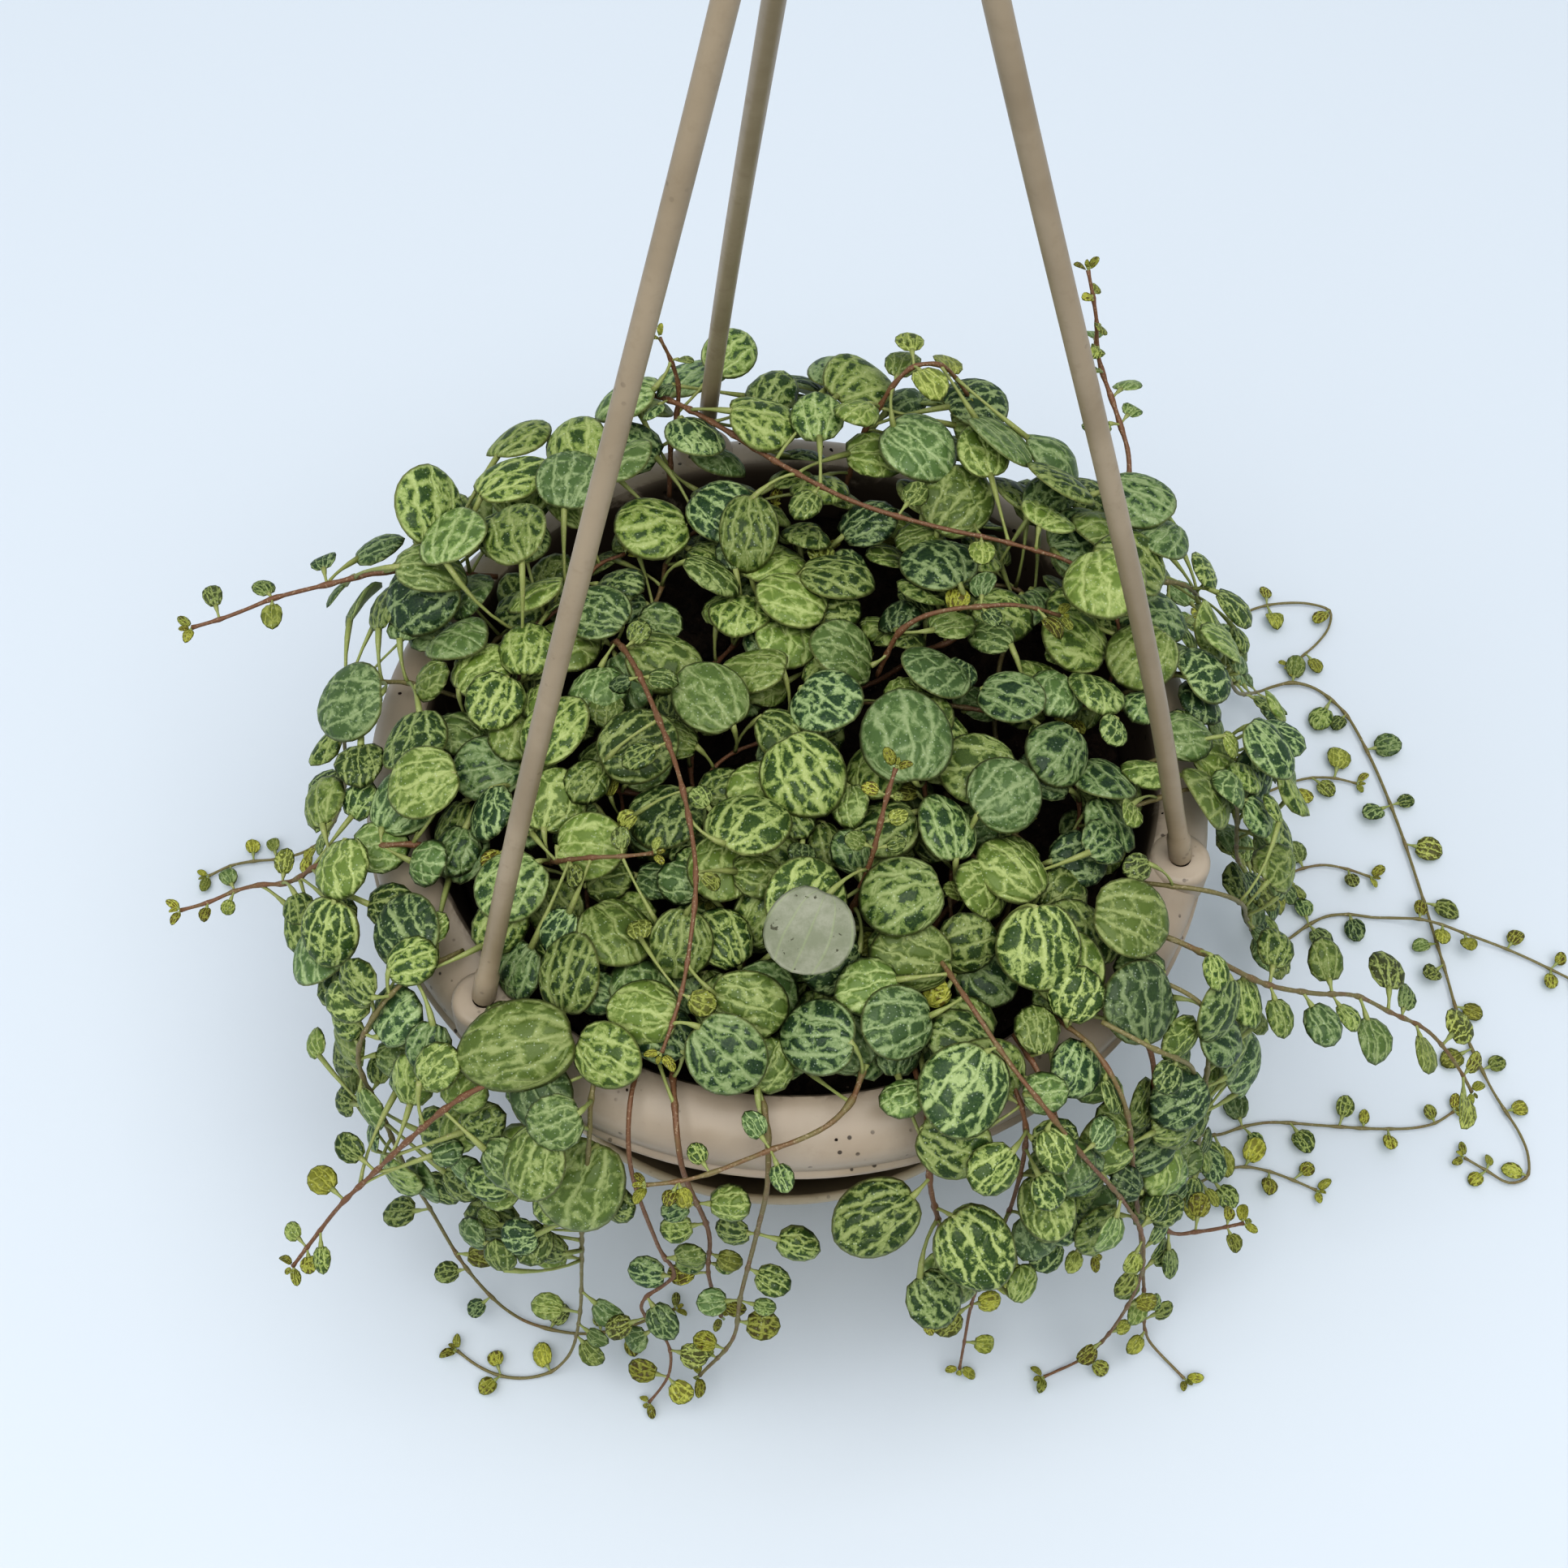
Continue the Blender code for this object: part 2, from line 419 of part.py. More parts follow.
class Garden:
    """Everything that the plant's stems and leaves have to keep clear of."""

    def __init__(self):
        self.shapes = []
        self.stems = []
        self.leaves = []
        for azimuth in ARM_AZIMUTHS.values():
            self.add_shape(arm_points(azimuth), COLLAR_DIAMETER / 2 + LEAF_CLEARANCE, None)

    def add_shape(self, points, radius, owner):
        """Keeps the room that a tube takes."""
        middle = sum(points, Vector()) / len(points)
        reach = max((p - middle).length for p in points) + radius
        self.shapes.append((middle, reach, tube_tree(points, radius), owner))

    def clear_of_pot(self, point, margin):
        """True where a point is clear of the pot, the saucer, the soil and the surface below."""
        radius = math.hypot(point.x, point.y)
        if point.z < margin:
            return False
        if point.z > RIM_TOP + LUG_RISE + margin:
            return True
        inner = RIM_RADIUS - RIM_WIDTH - margin
        for azimuth in ARM_AZIMUTHS.values():
            angle = math.radians(azimuth)
            lug = Vector((math.cos(angle), math.sin(angle))) * ARM_CIRCLE
            if (Vector((point.x, point.y)) - lug).length < LUG_RADIUS + margin and point.z > 0.07:
                return False
        if radius < inner:
            return point.z > soil_height(radius) + margin
        if point.z > RIM_TOP - SKIRT_DEPTH - margin:
            return radius > RIM_RADIUS + FLANGE + margin
        if point.z < SAUCER_LIP_HEIGHT + LIP_ROLL + margin:
            return radius > SAUCER_LIP_RADIUS + LIP_ROLL + margin
        return radius > pot_radius(point.z) + margin

    def stem_fits(self, points, spare):
        """True if a new stem keeps clear of the pot and of every stem placed before."""
        if not all(self.clear_of_pot(p, STEM_RADIUS + CLEARANCE) for p in points):
            return False
        tree = tube_tree(points, STEM_RADIUS + spare)
        for _, _, other, owner in self.shapes:
            if owner is None and tree.overlap(other):
                return False
        for stem in self.stems:
            for a, b in zip(stem.points, stem.points[1:]):
                for c, d in zip(points, points[1:]):
                    if (a - c).length > 0.012:
                        continue
                    if segment_gap(a, b, c, d) < 2 * STEM_RADIUS + spare:
                        return False
        return True

    def add_stem(self, stem):
        """Takes a stem into the plant."""
        self.stems.append(stem)
        self.add_shape(stem.points, STEM_RADIUS, len(self.stems) - 1)

    def leaf_fits(self, leaf, petiole_radius):
        """True if a leaf and its petiole touch nothing that is there already."""
        frame = leaf.matrix()
        grow = LEAF_CLEARANCE
        half_l, half_w = leaf.length / 2 + grow, leaf.width / 2 + grow
        top = LEAF_DOME * leaf.length + grow
        ring = []
        for k in range(8):
            angle = math.pi * (k + 0.5) / 4
            ring.append(Vector((math.cos(angle) * half_l, math.sin(angle) * half_w, 0.0)) * 1.04)
        verts = [frame @ (p + Vector((0, 0, -grow))) for p in ring]
        verts += [frame @ (p + Vector((0, 0, grow))) for p in ring]
        verts += [frame @ Vector((0, 0, -grow)), frame @ Vector((0, 0, top))]
        for p in verts:
            if not self.clear_of_pot(p, LEAF_CLEARANCE):
                return False
        for p in ring:
            if not self.clear_of_pot(frame @ (p * 0.5), LEAF_CLEARANCE):
                return False
        faces = [(k, (k + 1) % 8, 8 + (k + 1) % 8, 8 + k) for k in range(8)]
        faces += [(16, (k + 1) % 8, k) for k in range(8)] + [(17, 8 + k, 8 + (k + 1) % 8) for k in range(8)]
        blade = BVHTree.FromPolygons(verts, faces)
        stalk = None
        run = leaf.hold() - leaf.root
        if run.length > leaf.length * 0.35:
            start = leaf.root + run.normalized() * (STEM_RADIUS + 0.0003)
            row = [start.lerp(leaf.hold(), t / 3) for t in range(4)]
            if not all(self.clear_of_pot(p, petiole_radius + LEAF_CLEARANCE) for p in row):
                return False
            stalk = tube_tree(row, petiole_radius + LEAF_CLEARANCE)
        reach = leaf.length * 0.75 + 0.001
        for middle, size, tree, owner in self.shapes:
            if (middle - leaf.centre).length < size + reach and blade.overlap(tree):
                if owner != leaf.stem or run.length > leaf.length * 0.35 + 0.0012:
                    return False
            if stalk and owner != leaf.stem and (middle - leaf.centre).length < size + reach + run.length:
                if stalk.overlap(tree):
                    return False
        return True

    def add_leaf(self, leaf, petiole_radius):
        """Takes a leaf into the plant and keeps its room."""
        frame = leaf.matrix()
        ring = []
        for k in range(8):
            angle = math.pi * k / 4
            across = math.sin(angle) * leaf.width / 2
            ring.append(frame @ Vector((math.cos(angle) * leaf.length / 2, across, 0)))
        verts = ring + [frame @ Vector((0, 0, 0)), frame @ Vector((0, 0, LEAF_DOME * leaf.length))]
        faces = [(8, (k + 1) % 8, k) for k in range(8)] + [(9, k, (k + 1) % 8) for k in range(8)]
        self.leaves.append(leaf)
        self.shapes.append((leaf.centre, leaf.length * 0.62, BVHTree.FromPolygons(verts, faces), ("leaf",)))
        run = leaf.hold() - leaf.root
        if run.length > leaf.length * 0.35:
            start = leaf.root + run.normalized() * (STEM_RADIUS + 0.0002)
            row = [start.lerp(leaf.hold(), t / 2) for t in range(3)]
            middle = (start + leaf.hold()) / 2
            self.shapes.append((middle, run.length * 0.6, tube_tree(row, petiole_radius), ("petiole",)))


def tilted(direction, lean, toward):
    """Direction turned by a lean, in degrees, towards a compass angle."""
    angle = math.radians(toward)
    axis = Vector((-math.sin(angle), math.cos(angle), 0.0))
    return (Matrix.Rotation(math.radians(lean), 3, axis) @ direction).normalized()


def blade_axis(normal, wish):
    """The direction in the blade's plane that lies nearest to the one wished for."""
    flat = wish - normal * wish.dot(normal)
    if flat.length < 1e-6:
        flat = normal.orthogonal()
    return flat.normalized()


def attach(garden, centre, normal, length, width, wish, age, rng, reach, used):
    """The first leaf at this place that can grow from a stem within reach, or None."""
    near = []
    for index, stem in enumerate(garden.stems):
        last = len(stem.points) - 1
        for k in range(1, last):
            point = stem.points[k]
            away = (point - centre).length
            if away < reach and (index, k) not in used:
                near.append((away, index, k))
    near.sort()
    for away, index, k in near[:7]:
        stem = garden.stems[index]
        root = stem.points[k]
        from_stem = centre - root
        if from_stem.length < length * 0.42 or normal.dot(from_stem) < -0.35 * length:
            continue
        towards = wish if wish else from_stem.normalized() + Vector(
            (rng.uniform(-0.5, 0.5), rng.uniform(-0.5, 0.5), 0.0))
        along = blade_axis(normal, towards)
        leaf = Leaf(index, k / (len(stem.points) - 1), root, centre, along, normal, length, width, age)
        if (leaf.base() - root).length > reach:
            continue
        if garden.leaf_fits(leaf, PETIOLE_RADIUS):
            used.add((index, k))
            return leaf
    return None


def grow_runners(garden, rng):
    """Short stems that creep over the soil under the crown, each clear of the others."""
    made = 0
    while made < RUNNER_COUNT:
        turn = math.tau * (made + rng.uniform(-0.3, 0.3)) * 0.382
        start = RUNNER_REACH * math.sqrt((made + 0.5) / RUNNER_COUNT) * rng.uniform(0.6, 1.0)
        x, y = math.cos(turn) * start, math.sin(turn) * start
        heading = rng.uniform(0, math.tau)
        lift = rng.uniform(0.006, 0.014)
        points = []
        for step in range(RUNNER_STEPS):
            radius = math.hypot(x, y)
            rise = min(1.0, step / 3.0)
            points.append((x, y, soil_height(radius) + 0.0009 + lift * rise * rise * (3 - 2 * rise)))
            heading += rng.gauss(0, 0.3)
            ahead = math.hypot(x + math.cos(heading) * 0.01, y + math.sin(heading) * 0.01)
            if ahead > RUNNER_REACH:
                inward = math.atan2(-y, -x)
                heading += 0.8 * math.sin(inward - heading)
            x += math.cos(heading) * RUNNER_STEP
            y += math.sin(heading) * RUNNER_STEP
        row = smooth_line(points, STEM_SPACING)
        if all(math.hypot(p.x, p.y) < RUNNER_REACH + 0.004 for p in row) and garden.stem_fits(row, 0.0005):
            made += 1
            garden.add_stem(Stem(f"stem_crown_runner_{made:02d}", row))


def grow_show_leaves(garden, rng, used):
    """The large leaves that stand out in the crown and over the rim."""
    for place, length, width, tip, lean, toward in SHOW_LEAVES:
        angle = math.radians(tip)
        wish = Vector((math.cos(angle), math.sin(angle), 0.0))
        normal = tilted(Vector((0, 0, 1)), lean, toward)
        middle = Vector(with_rim(*place))
        for attempt in range(24):
            shift = Vector((rng.uniform(-1, 1), rng.uniform(-1, 1), rng.uniform(-1, 1))) * 0.0002 * attempt
            leaf = attach(garden, middle + shift, normal, length, width, wish, 1.0, rng, 0.024, used)
            if leaf:
                garden.add_leaf(leaf, PETIOLE_RADIUS)
                break


def grow_crown(garden, rng, used, count, sizes, depths, tries):
    """Leaves spread evenly over the crown's top, each in the first free place near its own."""
    for k in range(count):
        turn = k * math.pi * (3 - math.sqrt(5)) + rng.uniform(-0.2, 0.2)
        spread = math.sqrt((k + 0.5) / count)
        for attempt in range(tries):
            reach = crown_radius(math.cos(turn), math.sin(turn))
            radius = reach * spread + rng.uniform(-0.002, 0.002)
            angle = turn + rng.uniform(-0.06, 0.06)
            x, y = math.cos(angle) * radius, math.sin(angle) * radius
            length = rng.uniform(*sizes)
            width = length * rng.uniform(0.84, 1.0)
            depth = rng.uniform(*depths) + 0.0006 * attempt
            normal = Vector((x * 7.0, y * 7.0, 1.0)).normalized()
            normal = tilted(normal, rng.uniform(4, 32), rng.uniform(0, 360))
            centre = Vector((x, y, crown_height(radius) - depth))
            age = min(1.0, (length - 0.003) / 0.008) * rng.uniform(0.75, 1.0)
            leaf = attach(garden, centre, normal, length, width, None, age, rng, 0.018, used)
            if leaf:
                leaf.depth = depth
                garden.add_leaf(leaf, PETIOLE_RADIUS)
                break


def grow_curtains(garden, rng, used, tries):
    """Leaves that hang over the rim, facing outwards and up."""
    for start, end, lowest, count in CURTAINS:
        low = with_rim(0.0, 0.0, lowest)[2]
        for k in range(count):
            for attempt in range(tries):
                angle = math.radians(rng.uniform(start, end))
                drop = rng.random()
                height = RIM_TOP + CURTAIN_RISE - (RIM_TOP + CURTAIN_RISE - low) * drop
                radius = RIM_RADIUS + CURTAIN_START + CURTAIN_SPREAD * math.sqrt(drop)
                radius += rng.uniform(-0.002, 0.004)
                centre = Vector((math.cos(angle) * radius, math.sin(angle) * radius, height))
                outward = Vector((math.cos(angle), math.sin(angle), 0.0))
                normal = (outward * (0.35 + 0.75 * drop) + Vector((0, 0, 0.8))).normalized()
                normal = tilted(normal, rng.uniform(0, 30), rng.uniform(0, 360))
                length = rng.uniform(0.0070, 0.0118) * (1 - 0.2 * drop)
                width = length * rng.uniform(0.80, 0.98)
                age = rng.uniform(0.6, 1.0)
                leaf = attach(garden, centre, normal, length, width, None, age, rng, 0.017, used)
                if leaf:
                    garden.add_leaf(leaf, PETIOLE_RADIUS)
                    break


def grow_along(garden, rng, used):
    """The leaves along each stem's free length, left and right in turn, and a pair at its tip."""
    for index, stem in enumerate(garden.stems):
        route = stem.route
        if route is None:
            continue
        last = len(stem.points) - 1
        length_of = sum((b - a).length for a, b in zip(stem.points, stem.points[1:]))
        step = length_of / last
        first, last_size = route.leaf_sizes
        along_it = route.leaves_from * length_of
        hand = 1.0
        while along_it < length_of - 0.0005:
            k = min(last - 1, max(1, round(along_it / step)))
            share = k / last
            point = stem.points[k]
            ahead = (stem.points[k + 1] - stem.points[k - 1]).normalized()
            outward = Vector((point.x, point.y, 0.0)).normalized()
            face = (Vector((0, 0, 1.0)) + outward * 0.7 * abs(ahead.z)).normalized()
            side = ahead.cross(face).normalized()
            size = first + (last_size - first) * (share - route.leaves_from) / (1 - route.leaves_from)
            hand = -hand
            if (index, k) not in used:
                for attempt in range(14):
                    length = size * rng.uniform(0.85, 1.15)
                    width = length * rng.uniform(0.76, 0.95)
                    stalk = length * rng.uniform(0.10, 0.45) + 0.0004
                    sideways = (side * hand + ahead * rng.uniform(-0.1, 0.7)
                                + face * rng.uniform(0.0, 0.35 + 0.04 * attempt)).normalized()
                    normal = tilted(face, rng.uniform(0, 28 + attempt), rng.uniform(0, 360))
                    along = blade_axis(normal, sideways)
                    centre = point + sideways * stalk + along * length * 0.5
                    leaf = Leaf(index, share, point, centre, along, normal, length, width,
                                max(0.0, 0.9 - share * 0.9) * rng.uniform(0.6, 1.0))
                    if garden.leaf_fits(leaf, PETIOLE_RADIUS * 0.8):
                        garden.add_leaf(leaf, PETIOLE_RADIUS * 0.8)
                        used.add((index, k))
                        break
                    hand = -hand if attempt % 3 == 2 else hand
            along_it += route.leaf_gap * rng.uniform(0.85, 1.15)


def lay_out_plant():
    """Every stem and leaf of the plant, each clear of its neighbours."""
    rng = random.Random(SEED)
    garden = Garden()
    used = set()
    for route in ROUTES:
        line = [with_rim(*point) for point in route.points]
        garden.add_stem(Stem(route.name, smooth_line(line, STEM_SPACING), route))
    grow_runners(garden, rng)
    grow_show_leaves(garden, rng, used)
    grow_crown(garden, rng, used, 105, (0.0092, 0.0122), (0.0, 0.003), 14)
    grow_curtains(garden, rng, used, 10)
    grow_along(garden, rng, used)
    grow_crown(garden, rng, used, 120, (0.0068, 0.0092), (0.0, 0.007), 14)
    return garden


# ------------------------------------------------------------------ modelling
def clear_scene():
    """Removes what the scene starts with."""
    for thing in list(bpy.data.objects):
        bpy.data.objects.remove(thing, do_unlink=True)


def collection(name, hidden=False):
    """A new collection in the scene."""
    made = bpy.data.collections.new(name)
    bpy.context.scene.collection.children.link(made)
    made.hide_render = hidden
    return made


def material(name, colour, roughness, metallic=0.0):
    """A Principled material of one colour."""
    made = bpy.data.materials.new(name)
    made.use_nodes = True
    shader = made.node_tree.nodes["Principled BSDF"]
    shader.inputs["Base Color"].default_value = (*colour, 1.0)
    shader.inputs["Roughness"].default_value = roughness
    shader.inputs["Metallic"].default_value = metallic
    return made


def object_of(name, mesh, home, finish=None):
    """A named object for a mesh, in its collection, with its own material."""
    made = bpy.data.objects.new(name, mesh)
    home.objects.link(made)
    if finish:
        mesh.materials.append(finish)
    return made


def turned(name, profile, home, finish=None, steps=TURN_STEPS):
    """A profile in the XZ plane turned once about the Z axis."""
    mesh = bpy.data.meshes.new(name)
    mesh.from_pydata([(r, 0.0, z) for r, z in profile], [(k, k + 1) for k in range(len(profile) - 1)], [])
    made = object_of(name, mesh, home, finish)
    screw = made.modifiers.new("turn", "SCREW")
    screw.angle = math.tau
    screw.steps = steps
    screw.render_steps = steps
    screw.use_merge_vertices = True
    screw.merge_threshold = 0.00001
    screw.use_smooth_shade = True
    return made


def boolean(target, operation, tool, label, overlapping=False):
    """Joins a tool to the target, or cuts it away."""
    cut = target.modifiers.new(label, "BOOLEAN")
    cut.operation = operation
    cut.solver = "EXACT"
    cut.object = tool
    cut.use_self = overlapping
    return cut


def helper(name, mesh, tools):
    """A cutter or an addition that the build leaves out."""
    made = object_of(name, mesh, tools)
    made.hide_render = True
    made.display_type = "WIRE"
    return made


def cylinder_mesh(name, radius, low, high, places, sides=16):
    """Upright cylinders of one size at several places."""
    shape = bmesh.new()
    for x, y in places:
        bmesh.ops.create_cone(shape, cap_ends=True, segments=sides, radius1=radius, radius2=radius,
                              depth=high - low, matrix=Matrix.Translation((x, y, (low + high) / 2)))
    mesh = bpy.data.meshes.new(name)
    shape.to_mesh(mesh)
    shape.free()
    return mesh


def triangle_profile(radius):
    """A three-cornered outline for a thin tube."""
    curve = bpy.data.curves.new("triangle", "CURVE")
    curve.dimensions = "2D"
    spline = curve.splines.new("POLY")
    spline.points.add(2)
    for k, knot in enumerate(spline.points):
        angle = math.tau * k / 3
        knot.co = (math.cos(angle) * radius, math.sin(angle) * radius, 0.0, 1.0)
    spline.use_cyclic_u = True
    made = bpy.data.objects.new("triangle", curve)
    bpy.context.scene.collection.objects.link(made)
    return made


def tube_mesh(name, points, radii, smooth_sides=0, base_radius=STEM_RADIUS, profile="ROUND"):
    """A closed mesh tube through a row of points, with its own radius at each."""
    curve = bpy.data.curves.new(name, "CURVE")
    curve.dimensions = "3D"
    outline = None
    if profile == "TRIANGLE":
        outline = triangle_profile(base_radius)
        curve.bevel_mode = "OBJECT"
        curve.bevel_object = outline
    else:
        curve.bevel_depth = base_radius
        curve.bevel_resolution = smooth_sides
    curve.use_fill_caps = True
    spline = curve.splines.new("POLY")
    spline.points.add(len(points) - 1)
    for knot, point, radius in zip(spline.points, points, radii):
        knot.co = (*point, 1.0)
        knot.radius = radius / base_radius
    guide = bpy.data.objects.new(name, curve)
    bpy.context.scene.collection.objects.link(guide)
    bpy.context.view_layer.update()
    graph = bpy.context.evaluated_depsgraph_get()
    mesh = bpy.data.meshes.new_from_object(guide.evaluated_get(graph))
    mesh.transform(guide.matrix_world)
    shape = bmesh.new()
    shape.from_mesh(mesh)
    bmesh.ops.remove_doubles(shape, verts=shape.verts, dist=0.000002)
    bmesh.ops.recalc_face_normals(shape, faces=shape.faces)
    shape.to_mesh(mesh)
    shape.free()
    mesh.name = name
    mesh.materials.clear()
    bpy.data.objects.remove(guide, do_unlink=True)
    if outline:
        bpy.data.objects.remove(outline, do_unlink=True)
    return mesh


def arc(centre, half_width, half_height, start, end, steps):
    """Points along a stretch of an ellipse, angles in degrees from +X."""
    points = []
    for k in range(steps + 1):
        angle = math.radians(start + (end - start) * k / steps)
        points.append((centre[0] + half_width * math.cos(angle), centre[1] + half_height * math.sin(angle)))
    return points


def arm_places():
    """Where the hanger's arms pass through the rim."""
    angles = [math.radians(a) for a in ARM_AZIMUTHS.values()]
    return [(math.cos(a) * ARM_CIRCLE, math.sin(a) * ARM_CIRCLE) for a in angles]


def build_pot(home, tools, finish):
    """The tapering pot with its rolled rim, arm lugs, socket holes and drain holes."""
    foot = SAUCER_FLOOR + CLEARANCE
    inner = RIM_RADIUS - RIM_WIDTH
    skirt_end = RIM_TOP - SKIRT_DEPTH
    middle = (inner + 0.0008, RIM_TOP - RIM_CROWN)
    across = RIM_RADIUS - middle[0]
    profile = [(0.0, foot + POT_WALL), (POT_BASE_RADIUS - POT_WALL, foot + POT_WALL),
               (inner, RIM_TOP - 0.0012), (inner + 0.0003, RIM_TOP - 0.0004)]
    profile += arc(middle, across, RIM_CROWN, 90, 0, RIM_ARC_STEPS)
    profile += [(RIM_RADIUS, skirt_end + FLANGE_HEIGHT),
                (RIM_RADIUS + FLANGE, skirt_end + FLANGE_HEIGHT * 0.8),
                (RIM_RADIUS + FLANGE, skirt_end), (RIM_RADIUS - POT_WALL, skirt_end)]
    under = arc(middle, across - POT_WALL, RIM_CROWN - POT_WALL, 0, 70, RIM_ARC_STEPS - 2)
    profile += under
    neck_height = RIM_TOP - RIM_CROWN
    profile += [(pot_radius(neck_height) + 0.0004, neck_height - 0.001), (POT_BASE_RADIUS, foot), (0.0, foot)]
    pot = turned("pot", profile, home, finish)
    lugs = cylinder_mesh("lugs", LUG_RADIUS, RIM_TOP - LUG_DEPTH, RIM_TOP + LUG_RISE, arm_places(), 14)
    boolean(pot, "UNION", helper("rim_lugs", lugs, tools), "lugs")
    holes = cylinder_mesh("holes", NECK_DIAMETER / 2 + SOCKET_PLAY, 0.06, 0.1, arm_places(), 12)
    boolean(pot, "DIFFERENCE", helper("socket_holes", holes, tools), "sockets")
    drains = [(math.cos(math.tau * (k + 0.5) / DRAIN_COUNT) * DRAIN_CIRCLE,
               math.sin(math.tau * (k + 0.5) / DRAIN_COUNT) * DRAIN_CIRCLE) for k in range(DRAIN_COUNT)]
    drain_mesh = cylinder_mesh("drains", DRAIN_RADIUS, -0.001, foot + 2 * POT_WALL, drains, 8)
    boolean(pot, "DIFFERENCE", helper("drain_holes", drain_mesh, tools), "drains")
    hole_top = foot + 2 * POT_WALL
    middle_hole = cylinder_mesh("peg_hole", PEG_RADIUS + PEG_PLAY, -0.001, hole_top, [(0.0, 0.0)], 20)
    boolean(pot, "DIFFERENCE", helper("peg_hole", middle_hole, tools), "peg_hole")
    return pot


def build_saucer(home, finish):
    """The drip saucer: a shallow dish with a thin rolled lip and a snap peg in its middle."""
    peg_top = SAUCER_FLOOR + 2 * CLEARANCE + POT_WALL
    inner_base = SAUCER_BASE_RADIUS - SAUCER_WALL
    inner_lip = SAUCER_LIP_RADIUS - SAUCER_WALL
    profile = [(0.0, peg_top + PEG_HEAD_HEIGHT), (PEG_HEAD * 0.6, peg_top + PEG_HEAD_HEIGHT),
               (PEG_HEAD, peg_top + 0.0003), (PEG_HEAD, peg_top), (PEG_RADIUS, peg_top),
               (PEG_RADIUS, SAUCER_FLOOR), (inner_base - 0.001, SAUCER_FLOOR),
                (inner_base, SAUCER_FLOOR + 0.001)]
    profile += [(inner_lip, SAUCER_LIP_HEIGHT - 0.0006), (inner_lip + 0.0006, SAUCER_LIP_HEIGHT)]
    profile += [(SAUCER_LIP_RADIUS + LIP_ROLL * 0.4, SAUCER_LIP_HEIGHT),
                (SAUCER_LIP_RADIUS + LIP_ROLL, SAUCER_LIP_HEIGHT - 0.0006),
                (SAUCER_LIP_RADIUS + LIP_ROLL, SAUCER_LIP_HEIGHT - 0.0016),
                (SAUCER_LIP_RADIUS - 0.0003, SAUCER_LIP_HEIGHT - 0.0022),
                (SAUCER_BASE_RADIUS, 0.0012), (SAUCER_BASE_RADIUS - 0.001, 0.0), (0.0, 0.0)]
    return turned("saucer", profile, home, finish)


def build_soil(home, finish):
    """The potting mix: it fills the pot to a low dome, and clears the saucer's peg."""
    bottom = SAUCER_FLOOR + 2 * CLEARANCE + POT_WALL
    foot = SAUCER_FLOOR + CLEARANCE
    inner_base = POT_BASE_RADIUS - POT_WALL
    inner_top = RIM_RADIUS - RIM_WIDTH
    slope = (inner_top - inner_base) / (RIM_TOP - 0.0012 - foot - POT_WALL)

    def wall(height):
        return inner_base + slope * (height - foot - POT_WALL) - 1.3 * CLEARANCE

    edge = RIM_TOP - SOIL_EDGE_DROP
    profile = []
    for k in range(5):
        radius = wall(edge) * k / 5
        profile.append((radius, soil_height(radius)))
    recess = bottom + PEG_HEAD_HEIGHT + CLEARANCE
    profile += [(wall(edge), soil_height(wall(edge))), (wall(bottom), bottom),
                (PEG_HEAD + CLEARANCE, bottom), (PEG_HEAD + CLEARANCE, recess), (0.0, recess)]
    return turned("soil", profile, home, finish, steps=32)


def build_arm(name, azimuth, home, finish):
    """One hanger arm: a barb under the rim, a thin neck in the socket, a collar and the long arm."""
    line = arm_points(azimuth)
    foot = line[0]
    socket_top = RIM_TOP + LUG_RISE + CLEARANCE
    socket_end = RIM_TOP - LUG_DEPTH - CLEARANCE
    flat = Vector((foot.x, foot.y, 0.0))
    lift = [(socket_end - BARB_LENGTH, NECK_DIAMETER / 2), (socket_end - 0.0002, BARB_DIAMETER / 2),
            (socket_end, NECK_DIAMETER / 2), (socket_top - 0.0001, NECK_DIAMETER / 2),
            (socket_top, COLLAR_DIAMETER / 2), (socket_top + COLLAR_LENGTH, COLLAR_DIAMETER / 2),
            (socket_top + COLLAR_LENGTH + 0.0003, ARM_DIAMETER / 2)]
    points = [flat + Vector((0, 0, z)) for z, _ in lift[:5]]
    radii = [r for _, r in lift]
    lean = (line[1] - line[0]).normalized()
    for z, _ in lift[5:]:
        points.append(flat + lean * ((z - socket_top) / lean.z) + Vector((0, 0, socket_top)))
    points += line[1:]
    radii += [ARM_DIAMETER / 2] * (len(line) - 1)
    mesh = tube_mesh(name, points, radii, 2, ARM_DIAMETER / 2)
    mesh.shade_smooth()
    mesh.set_sharp_from_angle(angle=math.radians(40))
    return object_of(name, mesh, home, finish)


